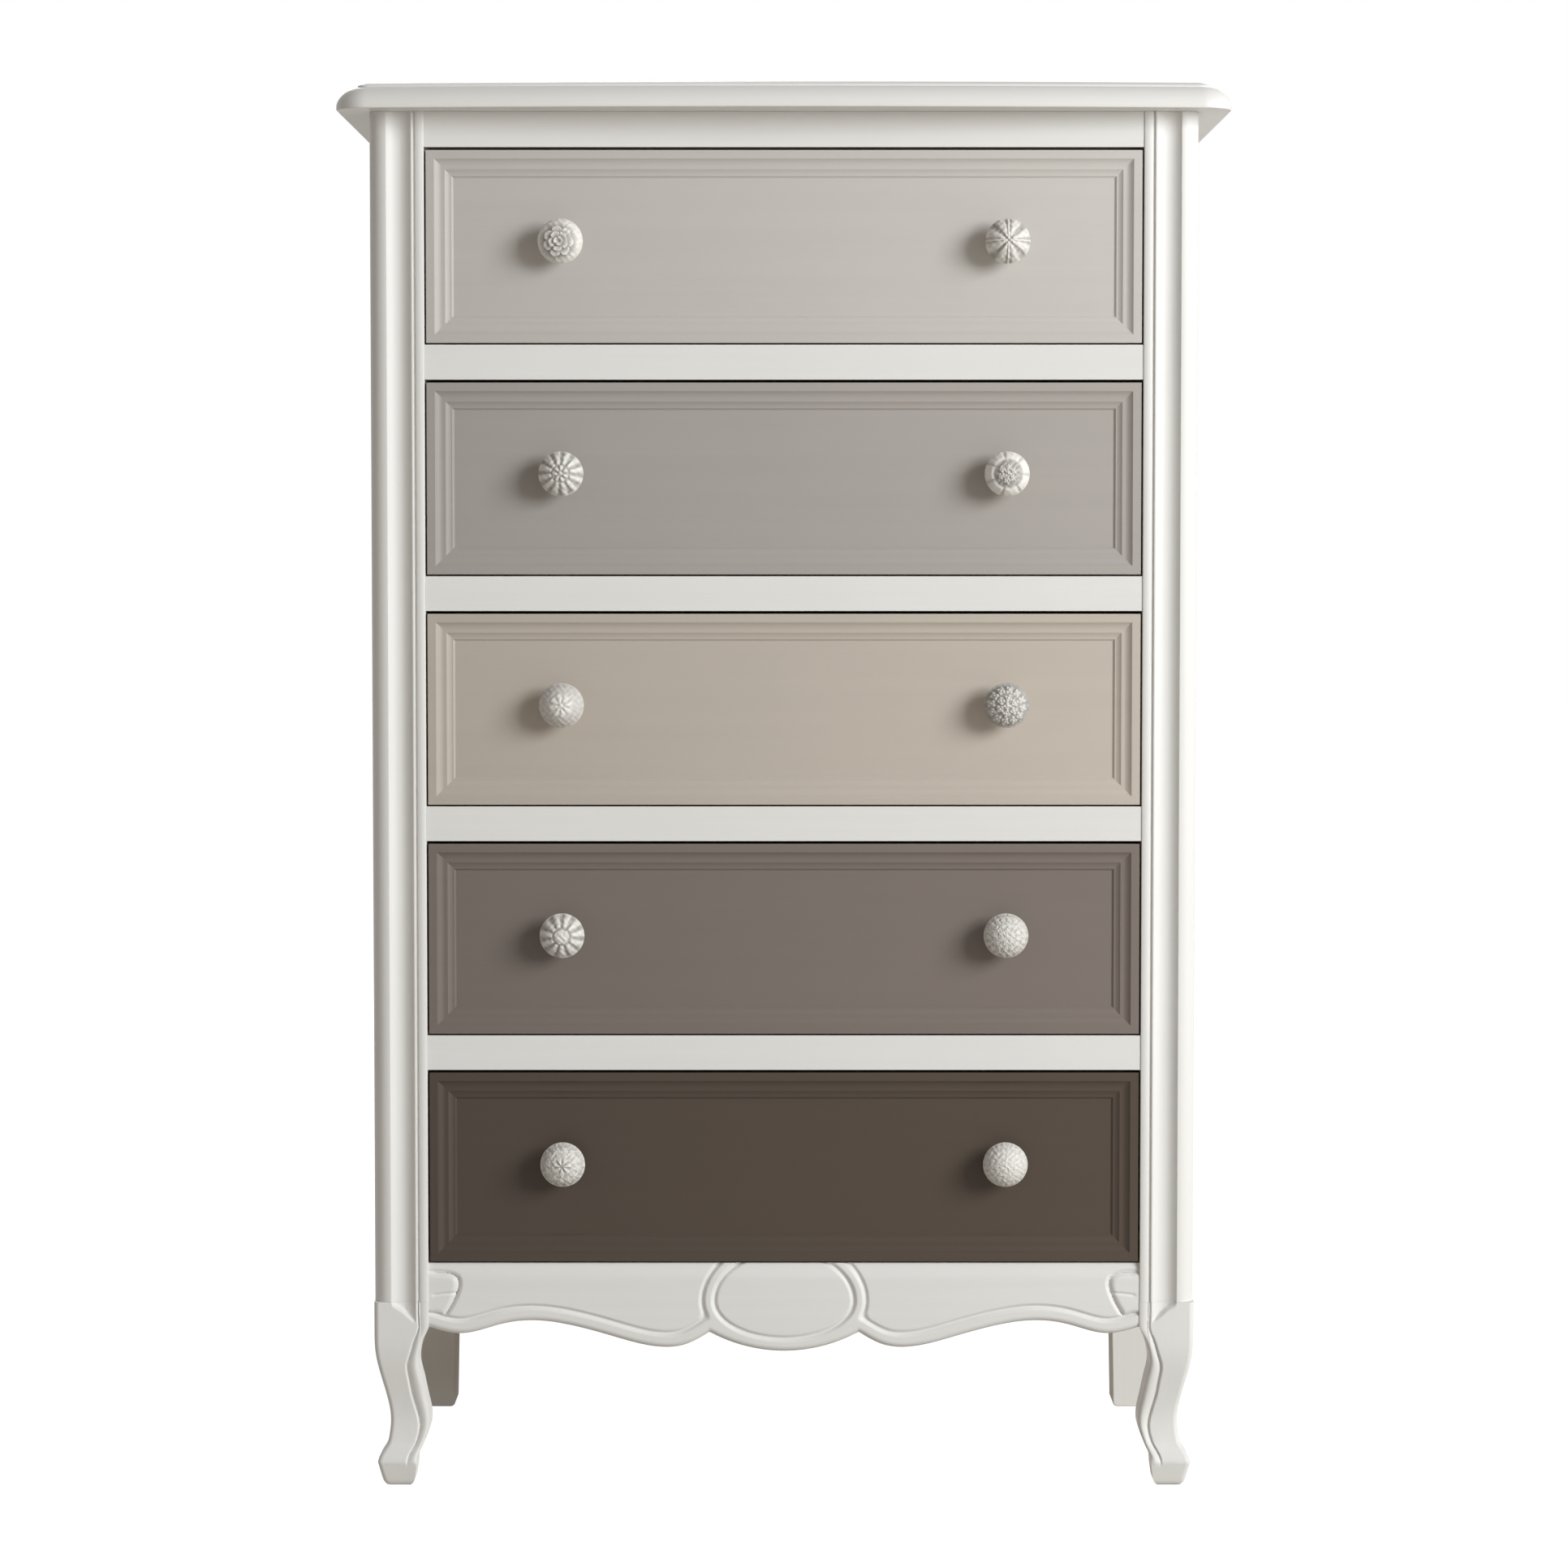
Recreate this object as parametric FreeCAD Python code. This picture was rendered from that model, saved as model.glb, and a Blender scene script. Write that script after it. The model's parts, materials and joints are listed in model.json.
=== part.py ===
import FreeCAD, Part
import math
import os
from FreeCAD import Vector

# Tall chest of drawers in painted wood, with five inset drawers.
# The front faces -Y, +X is to the right and +Z is up. All sizes are in millimetres.
# The origin is on the floor, under the middle of the whole chest's outline.

# Case
case_width = 737.0
case_depth = 420.0
post_width = 49.0
post_depth = 49.0
rear_post_width = 47.5
rear_post_depth = 48.0
drawer_count = 5
opening_height = 174.5
rail_height = 31.0
base_height = 202.5
frieze_height = 31.5
rail_set_back = 1.6
panel_thickness = 12.0
panel_set_in = 5.0
groove_depth = 8.0
tenon_length = 14.0
tenon_thickness = 10.0
tenon_shoulder = 5.0
back_thickness = 6.0
back_rabbet_width = 10.0
rear_rail_thickness = 20.0
rear_rail_height = 32.0
cut_overrun = 5.0
same_place = 0.2

# Top board
top_thickness = 25.0
top_side_overhang = 28.0
top_front_overhang = 26.0
top_bow = 14.0
top_rear_overhang = 8.0
top_corner_radius = 30.0
top_edge_radius = 22.0
top_under_radius = 1.2

# Moulding of the front posts, measured from the outer corner inwards
post_round_radius = 15.8
post_cove_width = 21.8
post_cove_depth = 6.0
post_arris_width = 2.4
post_quirk_width = 2.2
post_quirk_depth = 2.0
post_inner_radius = 1.8

# Front legs
knee_drop = 35.0
leg_corner_radius = 6.0

# Rear legs
rear_leg_taper = 3.0
rear_leg_toe_radius = 4.5
rear_leg_height = 150.0

# Side panels
side_panel_drop = 50.0
side_arch_rise = 18.0
side_arch_margin = 40.0

# Apron
apron_drop = 80.0
apron_thickness = 22.0
apron_field_depth = 1.5
border_width = 14.0
cartouche_half_width = 63.0
cartouche_half_height = 36.0
cartouche_rim_width = 10.5
cartouche_centre_drop = 34.0

# Drawers
drawer_side_gap = 1.5
drawer_top_gap = 2.5
drawer_bottom_gap = 1.5
drawer_inset = 2.2
drawer_back_clearance = 12.0
drawer_front_thickness = 20.0
drawer_side_thickness = 12.0
drawer_side_height = 150.0
drawer_back_thickness = 12.0
drawer_back_drop = 8.0
drawer_bottom_thickness = 5.0
drawer_bottom_rise = 10.0
drawer_groove_depth = 6.0
running_gap = 0.3

# Moulded frame on each drawer front, from the outer edge inwards
frame_outer_flat = 7.3
frame_first_width = 8.0
frame_first_depth = 3.4
frame_middle_flat = 1.3
frame_second_width = 4.8
frame_second_depth = 2.2
frame_inner_flat = 0.9
frame_step_width = 2.0
frame_step_depth = 1.6

# Runners, guides and stops inside the case
runner_thickness = 18.0
runner_inner_reach = 6.0
guide_height = 24.0
stop_width = 40.0
stop_depth = 16.0
stop_height = 6.0
stop_inset = 90.0

# Knobs
knob_spacing = 396.0
knob_rise = 4.0
knob_radius = 20.0
knob_length = 35.0
knob_foot_radius = 10.0
knob_foot_length = 4.0
knob_neck_radius = 7.5
knob_neck_length = 13.0
screw_radius = 2.0
screw_clearance = 0.3
screw_bite = 14.0
screw_head_radius = 4.5
screw_head_length = 2.6

# Places that follow from the sizes
half_width = case_width / 2
leg_height = base_height - knee_drop
opening_half = half_width - post_width
rear_half = half_width - rear_post_width
drawer_pitch = opening_height + rail_height
openings_height = drawer_count * drawer_pitch - rail_height
case_top = base_height + openings_height + frieze_height
total_height = case_top + top_thickness
frame_depth = frame_first_depth + frame_second_depth + frame_step_depth
knob_reach = knob_length - frame_depth - drawer_inset
front_reach = max(top_front_overhang + top_bow, knob_reach)
case_front = (front_reach - case_depth - top_rear_overhang) / 2
case_back = case_front + case_depth
rail_front = case_front + rail_set_back
rail_back = case_front + post_depth
apron_back = rail_front + apron_thickness
panel_outer = half_width - panel_set_in
panel_inner = panel_outer - panel_thickness
rear_post_front = case_back - rear_post_depth
back_panel_front = case_back - back_thickness
panel_bottom = base_height - side_panel_drop


def box(x0, x1, y0, y1, z0, z1):
    return Part.makeBox(x1 - x0, y1 - y0, z1 - z0, Vector(x0, y0, z0))


def mirrored(shape):
    return shape.mirror(Vector(0, 0, 0), Vector(1, 0, 0))


def both_sides(left):
    return left, mirrored(left)


def save(name, *solids):
    shape = solids[0] if len(solids) == 1 else Part.makeCompound(list(solids))
    shape.exportStep("parts/" + name + ".step")


def line(start, end):
    return Part.LineSegment(start, end).toShape()


def arc(start, middle, end):
    return Part.Arc(start, middle, end).toShape()


def curve(points):
    spline = Part.BSplineCurve()
    spline.interpolate(points)
    return spline.toShape()


def flat(edges):
    return Part.Face(Part.Wire(Part.__sortEdges__(edges)))


def opening_bottom(number):
    # Drawer 1 is at the top
    return base_height + (drawer_count - number) * drawer_pitch


def top_board():
    # Bowed front edge with round corners, and a large quarter round along the front and sides
    side = half_width + top_side_overhang
    front = case_front - top_front_overhang
    back = case_back + top_rear_overhang
    bow = arc(
        Vector(-side, front, case_top),
        Vector(0, front - top_bow, case_top),
        Vector(side, front, case_top),
    )
    outline = flat([
        bow,
        line(Vector(side, front, case_top), Vector(side, back, case_top)),
        line(Vector(side, back, case_top), Vector(-side, back, case_top)),
        line(Vector(-side, back, case_top), Vector(-side, front, case_top)),
    ])
    board = outline.extrude(Vector(0, 0, top_thickness))
    corners = [
        edge for edge in board.Edges
        if edge.BoundBox.ZLength > top_thickness / 2 and edge.BoundBox.YMax < case_front
    ]
    board = board.makeFillet(top_corner_radius, corners)

    def rim(height):
        return [
            edge for edge in board.Edges
            if abs(edge.BoundBox.ZMin - height) < same_place
            and edge.BoundBox.ZLength < same_place
            and edge.BoundBox.YMin < back - top_under_radius
        ]

    board = board.makeFillet(top_edge_radius, rim(total_height))
    return board.makeFillet(top_under_radius, rim(case_top))


def post_section():
    # The left front post in plan: outer round, cove, arris, quirk and inner fillet
    outer = -half_width
    inner = outer + post_width
    round_end = outer + post_round_radius
    cove_end = round_end + post_cove_width
    quirk_start = cove_end + post_arris_width
    quirk_end = quirk_start + post_quirk_width
    front = case_front
    side = case_front + post_round_radius
    lean = post_round_radius * (1 - 0.5 ** 0.5)
    inner_lean = post_inner_radius * (1 - 0.5 ** 0.5)
    return [
        arc(Vector(outer, side, 0), Vector(outer + lean, front + lean, 0), Vector(round_end, front, 0)),
        arc(
            Vector(round_end, front, 0),
            Vector((round_end + cove_end) / 2, front + post_cove_depth, 0),
            Vector(cove_end, front, 0),
        ),
        line(Vector(cove_end, front, 0), Vector(quirk_start, front, 0)),
        line(Vector(quirk_start, front, 0), Vector(quirk_start, front + post_quirk_depth, 0)),
        line(Vector(quirk_start, front + post_quirk_depth, 0), Vector(quirk_end, front + post_quirk_depth, 0)),
        line(Vector(quirk_end, front + post_quirk_depth, 0), Vector(quirk_end, front, 0)),
        line(Vector(quirk_end, front, 0), Vector(inner - post_inner_radius, front, 0)),
        arc(
            Vector(inner - post_inner_radius, front, 0),
            Vector(inner - inner_lean, front + inner_lean, 0),
            Vector(inner, front + post_inner_radius, 0),
        ),
        line(Vector(inner, front + post_inner_radius, 0), Vector(inner, rail_back, 0)),
        line(Vector(inner, rail_back, 0), Vector(outer, rail_back, 0)),
        line(Vector(outer, rail_back, 0), Vector(outer, side, 0)),
    ]


def tenon_box(low, high, back):
    # A stub tenon on the left end of a rail or of the apron, whose back lies at a given depth
    middle = (rail_front + back) / 2
    return box(
        -opening_half - tenon_length,
        -opening_half,
        middle - tenon_thickness / 2,
        middle + tenon_thickness / 2,
        low + tenon_shoulder,
        high - tenon_shoulder,
    )


def rail_spans():
    # Lowest and highest point of each front rail, from the frieze down, and of the apron's joint
    spans = [(case_top - frieze_height, case_top)]
    for number in range(1, drawer_count):
        low = opening_bottom(number) - rail_height
        spans.append((low, low + rail_height))
    spans.append((base_height - rail_height, base_height))
    return spans


def front_post():
    post = flat(post_section()).extrude(Vector(0, 0, case_top - leg_height))
    post.translate(Vector(0, 0, leg_height))
    for low, high in rail_spans()[:-1]:
        post = post.cut(tenon_box(low, high, rail_back))
    low, high = rail_spans()[-1]
    post = post.cut(tenon_box(low, high, apron_back))
    groove = box(
        -panel_outer, -panel_inner,
        rail_back - groove_depth, rail_back + cut_overrun,
        leg_height, case_top + cut_overrun,
    )
    return post.cut(groove)


# Template of the front leg, seen from the front: inwards from the case's side as a share of the
# post's width, and up from the floor as a share of the leg's height
leg_outer_shares = [
    (0.0, 0.83),
    (0.010, 0.743),
    (0.035, 0.688),
    (0.12, 0.58),
    (0.218, 0.466),
    (0.262, 0.395),
    (0.272, 0.34),
    (0.245, 0.262),
    (0.188, 0.208),
    (0.085, 0.162),
    (0.047, 0.128),
]
leg_sole_shares = [(0.047, 0.128), (0.105, 0.06), (0.165, 0.0)]
leg_inner_shares = [
    (1.0, 0.865),
    (0.90, 0.80),
    (0.825, 0.735),
    (0.80, 0.66),
    (0.853, 0.578),
    (0.925, 0.468),
    (0.980, 0.385),
    (0.985, 0.315),
    (0.93, 0.256),
    (0.865, 0.208),
    (0.785, 0.161),
    (0.76, 0.107),
    (0.735, 0.049),
    (0.69, 0.0),
]


def leg_points(shares):
    return [Vector(inward * post_width, 0, up * leg_height) for inward, up in shares]


def leg_template():
    # Face in the XZ plane with its outer top corner at x = 0
    outer = leg_points(leg_outer_shares)
    sole = leg_points(leg_sole_shares)
    inner = leg_points(leg_inner_shares)
    top_outer = Vector(0, 0, leg_height)
    top_inner = Vector(post_width, 0, leg_height)
    return flat([
        line(top_outer, outer[0]),
        curve(outer),
        arc(*sole),
        line(sole[-1], inner[-1]),
        curve(inner),
        line(inner[0], top_inner),
        line(top_inner, top_outer),
    ])


def front_leg():
    # The same template is sawn from the front and from the side, then the long corners are rounded
    seen_from_front = leg_template().extrude(Vector(0, post_depth, 0))
    seen_from_side = leg_template()
    seen_from_side.rotate(Vector(0, 0, 0), Vector(0, 0, 1), 90)
    seen_from_side = seen_from_side.extrude(Vector(post_width, 0, 0))
    leg = seen_from_front.common(seen_from_side)
    long_edge = leg_height / 4
    outer_edges = [
        edge for edge in leg.Edges
        if edge.BoundBox.ZLength > long_edge
        and abs(edge.CenterOfMass.x - edge.CenterOfMass.y) < same_place
        and edge.CenterOfMass.x < post_width / 2
    ]
    leg = leg.makeFillet(leg_corner_radius, outer_edges).Solids[0]
    leg.translate(Vector(-half_width, case_front, 0))
    return leg


def rear_post():
    # The whole height in one piece, with a slightly tapered leg and a rounded toe
    inner = -rear_half
    toe = inner - rear_leg_taper
    bend = rear_leg_toe_radius * (1 - 0.5 ** 0.5)
    outline = flat([
        line(Vector(-half_width, rear_post_front, 0), Vector(toe - rear_leg_toe_radius, rear_post_front, 0)),
        arc(
            Vector(toe - rear_leg_toe_radius, rear_post_front, 0),
            Vector(toe - bend, rear_post_front, bend),
            Vector(toe, rear_post_front, rear_leg_toe_radius),
        ),
        line(Vector(toe, rear_post_front, rear_leg_toe_radius), Vector(inner, rear_post_front, rear_leg_height)),
        line(Vector(inner, rear_post_front, rear_leg_height), Vector(inner, rear_post_front, case_top)),
        line(Vector(inner, rear_post_front, case_top), Vector(-half_width, rear_post_front, case_top)),
        line(Vector(-half_width, rear_post_front, case_top), Vector(-half_width, rear_post_front, 0)),
    ])
    post = outline.extrude(Vector(0, rear_post_depth, 0))
    groove = box(
        -panel_outer, -panel_inner,
        rear_post_front - cut_overrun, rear_post_front + groove_depth,
        panel_bottom, case_top + cut_overrun,
    )
    rabbet = box(
        -rear_half - back_rabbet_width, -rear_half + cut_overrun,
        back_panel_front, case_back + cut_overrun,
        base_height - rear_rail_height, case_top + cut_overrun,
    )
    return post.cut(groove).cut(rabbet)


def side_panel():
    # Thin panel grooved into both posts, with a shallow arch cut in its lower edge
    front = rail_back - groove_depth
    back = rear_post_front + groove_depth
    panel = box(-panel_outer, -panel_inner, front, back, panel_bottom, case_top)
    leg_space = box(-half_width, -opening_half, case_front, rail_back, 0, leg_height)
    arch_front = rail_back + side_arch_margin
    arch_back = rear_post_front - side_arch_margin
    x = -panel_outer
    arch = flat([
        arc(
            Vector(x, arch_front, panel_bottom),
            Vector(x, (arch_front + arch_back) / 2, panel_bottom + side_arch_rise),
            Vector(x, arch_back, panel_bottom),
        ),
        line(Vector(x, arch_back, panel_bottom), Vector(x, arch_front, panel_bottom)),
    ]).extrude(Vector(panel_thickness, 0, 0))
    return panel.cut(leg_space).cut(arch)


def rail(low, high):
    left_tenon = tenon_box(low, high, rail_back)
    bar = box(-opening_half, opening_half, rail_front, rail_back, low, high)
    return bar.fuse(left_tenon).fuse(mirrored(left_tenon)).removeSplitter()


# Lower edge of the apron's right half: across as a share of half the opening, up as a share of
# the apron's drop. The lobe ends in a cusp, where the long scallop starts.
apron_lobe_shares = [(0.0, 0.0), (0.21, 0.215)]
apron_scallop_shares = [
    (0.21, 0.215),
    (0.27, 0.085),
    (0.345, 0.045),
    (0.49, 0.175),
    (0.605, 0.295),
    (0.70, 0.345),
    (0.80, 0.300),
    (0.906, 0.200),
    (1.0, 0.275),
]


def apron_point(across_share, up_share, depth, lift=0):
    floor = base_height - apron_drop
    return Vector(across_share * opening_half, depth, floor + up_share * apron_drop + lift)


def apron_lower_edges(depth, lift=0):
    scallop = [apron_point(across, up, depth, lift) for across, up in apron_scallop_shares]
    mirrored_scallop = [Vector(-point.x, point.y, point.z) for point in scallop]
    middle, cusp = [apron_point(across, up, depth, lift) for across, up in apron_lobe_shares]
    lobe = arc(Vector(-cusp.x, cusp.y, cusp.z), middle, cusp)
    return [curve(mirrored_scallop), lobe, curve(scallop)]


def apron():
    # Flat field behind a raised border that follows the scalloped edge and a raised oval ring
    field = rail_front + apron_field_depth
    end = apron_point(1, apron_scallop_shares[-1][1], rail_front)
    top_right = Vector(end.x, rail_front, base_height)
    top_left = Vector(-end.x, rail_front, base_height)
    whole = flat(apron_lower_edges(rail_front) + [
        line(end, top_right),
        line(top_right, top_left),
        line(top_left, Vector(-end.x, rail_front, end.z)),
    ]).extrude(Vector(0, apron_thickness, 0))
    in_front = box(-half_width, half_width, rail_front - cut_overrun, field, 0, base_height + cut_overrun)
    board = whole.cut(in_front)
    lifted_end = Vector(end.x, rail_front, end.z + border_width)
    border = flat(apron_lower_edges(rail_front) + apron_lower_edges(rail_front, border_width) + [
        line(end, lifted_end),
        line(Vector(-end.x, rail_front, end.z), Vector(-lifted_end.x, rail_front, lifted_end.z)),
    ]).extrude(Vector(0, apron_thickness, 0))
    centre = Vector(0, rail_front, base_height - cartouche_centre_drop)
    ring = ellipse_block(
        centre,
        cartouche_half_width + cartouche_rim_width,
        cartouche_half_height + cartouche_rim_width,
        apron_back,
    )
    oval = ellipse_block(
        centre - Vector(0, cut_overrun, 0), cartouche_half_width, cartouche_half_height, field)
    shape = board.fuse(border).fuse(ring.common(whole)).cut(oval)
    low, high = rail_spans()[-1]
    tenon = tenon_box(low, high, apron_back)
    return shape.fuse(tenon).fuse(mirrored(tenon)).removeSplitter()


def ellipse_block(centre, half_across, half_up, back):
    oval = Part.Ellipse()
    oval.MajorRadius = half_across
    oval.MinorRadius = half_up
    wire = Part.Wire(oval.toShape())
    wire.rotate(Vector(0, 0, 0), Vector(1, 0, 0), 90)
    wire.translate(centre)
    return Part.Face(wire).extrude(Vector(0, back - centre.y, 0))


def back_panel():
    half = rear_half + back_rabbet_width
    return box(-half, half, back_panel_front, case_back, base_height - rear_rail_height, case_top)


def rear_rails():
    front = back_panel_front - rear_rail_thickness
    lower = box(-rear_half, rear_half, front, back_panel_front, base_height - rear_rail_height, base_height)
    upper = box(-rear_half, rear_half, front, back_panel_front, case_top - rear_rail_height, case_top)
    return [lower, upper]


def runners():
    # On the left side of the case: a runner under each drawer's side, and a guide beside it
    reach = opening_half - drawer_side_gap - drawer_side_thickness - runner_inner_reach
    strips = []
    for number in range(1, drawer_count + 1):
        floor = opening_bottom(number)
        strips.append(box(-panel_inner, -reach, rail_back, rear_post_front, floor - runner_thickness, floor))
        strips.append(box(-panel_inner, -opening_half, rail_back, rear_post_front, floor, floor + guide_height))
    return strips


def stops():
    # Two blocks on each rail, just behind the drawer front
    front = case_front + drawer_inset + drawer_front_thickness + running_gap
    blocks = []
    for number in range(1, drawer_count + 1):
        floor = opening_bottom(number)
        edge = opening_half - stop_inset
        left = box(-edge, -edge + stop_width, front, front + stop_depth, floor, floor + stop_height)
        blocks.extend(both_sides(left))
    return blocks


def hollow(start, width, depth):
    # An arc that starts steep and runs out flat, in the YZ plane, and the place where it ends
    full_turn = 2 * math.atan(depth / width)
    half_turn = full_turn / 2
    radius = width / math.sin(full_turn)
    middle = start + Vector(
        0,
        radius * (math.cos(half_turn) - math.cos(full_turn)),
        radius * (math.sin(full_turn) - math.sin(half_turn)),
    )
    end = start + Vector(0, depth, width)
    return arc(start, middle, end), end


def frame_section(start, back):
    # The drawer front's moulding, from its lower edge upwards
    outer_end = start + Vector(0, 0, frame_outer_flat)
    first, first_end = hollow(outer_end, frame_first_width, frame_first_depth)
    second_start = first_end + Vector(0, 0, frame_middle_flat)
    second, second_end = hollow(second_start, frame_second_width, frame_second_depth)
    step_start = second_end + Vector(0, 0, frame_inner_flat)
    step_end = step_start + Vector(0, frame_step_depth, frame_step_width)
    inner_back = Vector(0, back, step_end.z)
    outer_back = Vector(0, back, start.z)
    return Part.Wire([
        line(start, outer_end),
        first,
        line(first_end, second_start),
        second,
        line(second_end, step_start),
        line(step_start, step_end),
        line(step_end, inner_back),
        line(inner_back, outer_back),
        line(outer_back, start),
    ])


def moulded_board(half_x, front, back, low, high):
    # A plain panel inside a moulding that runs round it, with mitred corners
    start = Vector(0, front, low)
    path = Part.makePolygon([
        start,
        Vector(half_x, front, low),
        Vector(half_x, front, high),
        Vector(-half_x, front, high),
        Vector(-half_x, front, low),
        start,
    ])
    mitred = 1
    moulding = path.makePipeShell([frame_section(start, back)], True, False, mitred)
    panel = box(-half_x, half_x, front + frame_depth, back, low, high)
    return panel.fuse(moulding).removeSplitter().Solids[0]


def front_span(number):
    low = opening_bottom(number) + drawer_bottom_gap
    high = opening_bottom(number) + opening_height - drawer_top_gap
    return low, high


def knob_places(number):
    low, high = front_span(number)
    height = (low + high) / 2 + knob_rise
    return [(-knob_spacing / 2, height), (knob_spacing / 2, height)]


def rod(x, z, radius, front, back):
    return Part.makeCylinder(radius, back - front, Vector(x, front, z), Vector(0, 1, 0))


def drawer_front(number):
    low, high = front_span(number)
    half_x = opening_half - drawer_side_gap
    front = case_front + drawer_inset
    back = front + drawer_front_thickness
    board = moulded_board(half_x, front, back, low, high)
    groove_low = opening_bottom(number) + running_gap + drawer_bottom_rise
    groove_half = half_x - drawer_side_thickness + drawer_groove_depth
    board = board.cut(box(
        -groove_half, groove_half, back - drawer_groove_depth, back + cut_overrun,
        groove_low, groove_low + drawer_bottom_thickness))
    for x, z in knob_places(number):
        board = board.cut(rod(x, z, screw_radius + screw_clearance, front, back + cut_overrun))
    return board


def drawer_box(number):
    # Sides, back and bottom. The bottom slides in grooves and passes under the back.
    floor = opening_bottom(number) + running_gap
    outer = opening_half - drawer_side_gap
    inner = outer - drawer_side_thickness
    front = case_front + drawer_inset + drawer_front_thickness
    back = case_back - back_thickness - drawer_back_clearance
    top = floor + drawer_side_height
    groove_low = floor + drawer_bottom_rise
    groove_high = groove_low + drawer_bottom_thickness
    side = box(-outer, -inner, front, back, floor, top)
    side = side.cut(box(
        -inner - drawer_groove_depth, -inner + cut_overrun, front - cut_overrun, back + cut_overrun,
        groove_low, groove_high))
    rear = box(-inner, inner, back - drawer_back_thickness, back, groove_high, top - drawer_back_drop)
    groove_reach = inner + drawer_groove_depth
    bottom = box(
        -groove_reach, groove_reach, front - drawer_groove_depth, back,
        groove_low, groove_high)
    return side, rear, bottom


# Underside of a knob's head: out from the axis as a share of the knob's radius, and forward from
# the neck as a share of the head's length
knob_under_shares = [(0.70, 0.0), (0.95, 0.09), (1.0, 0.27)]


def knob(x, z):
    # Turned foot and neck under a domed head, bored for its screw
    seat = case_front + drawer_inset + frame_depth
    foot_end = seat - knob_foot_length
    neck_end = seat - knob_neck_length
    head_length = knob_length - knob_neck_length
    under = [
        Vector(out * knob_radius, neck_end - forward * head_length, 0)
        for out, forward in knob_under_shares
    ]
    neck = Vector(knob_neck_radius, (foot_end + neck_end) / 2, 0)
    # The dome is part of a ball whose centre lies on the axis
    rim = under[-1]
    tip = Vector(0, seat - knob_length, 0)
    dome_length = rim.y - tip.y
    ball = (knob_radius ** 2 + dome_length ** 2) / (2 * dome_length)
    turn = math.acos(1 - dome_length / ball) / 2
    crown = Vector(ball * math.sin(turn), tip.y + ball * (1 - math.cos(turn)), 0)
    body = flat([
        line(Vector(0, seat, 0), Vector(knob_foot_radius, seat, 0)),
        line(Vector(knob_foot_radius, seat, 0), Vector(knob_foot_radius, foot_end, 0)),
        arc(Vector(knob_foot_radius, foot_end, 0), neck, under[0]),
        arc(*under),
        arc(rim, crown, tip),
        line(tip, Vector(0, seat, 0)),
    ]).revolve(Vector(0, 0, 0), Vector(0, 1, 0), 360)
    body.translate(Vector(x, 0, z))
    return body.cut(rod(x, z, screw_radius, seat - screw_bite, seat + cut_overrun))


def knob_screw(x, z):
    seat = case_front + drawer_inset + frame_depth
    inside = case_front + drawer_inset + drawer_front_thickness
    shank = rod(x, z, screw_radius, seat - screw_bite, inside)
    head = rod(x, z, screw_head_radius, inside, inside + screw_head_length)
    return shank.fuse(head).removeSplitter()


def build():
    os.makedirs("parts", exist_ok=True)
    save("top_panel", top_board())
    spans = rail_spans()
    save("frieze_rail", rail(*spans[0]))
    for number in range(1, drawer_count):
        save("drawer_rail_%d" % number, rail(*spans[number]))
    save("apron", apron())
    for name, left in (
        ("front_post", front_post()),
        ("front_leg", front_leg()),
        ("rear_post", rear_post()),
        ("side_panel", side_panel()),
    ):
        save(name + "_left", left)
        save(name + "_right", mirrored(left))
    save("back_panel", back_panel())
    save("rear_rails", *rear_rails())
    left_runners = runners()
    save("runners_left", *left_runners)
    save("runners_right", *[mirrored(strip) for strip in left_runners])
    save("drawer_stops", *stops())
    for number in range(1, drawer_count + 1):
        name = "drawer_%d_" % number
        side, rear, bottom = drawer_box(number)
        places = knob_places(number)
        save(name + "front", drawer_front(number))
        save(name + "side_left", side)
        save(name + "side_right", mirrored(side))
        save(name + "back", rear)
        save(name + "bottom", bottom)
        save(name + "knob_left", knob(*places[0]))
        save(name + "knob_right", knob(*places[1]))
        save(name + "knob_screws", *[knob_screw(*place) for place in places])


build()
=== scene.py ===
import json
import math
from contextlib import contextmanager

import bmesh
import bpy
import numpy as np
from bpy.props import FloatProperty, FloatVectorProperty, IntProperty, PointerProperty
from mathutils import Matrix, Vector, kdtree

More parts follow.
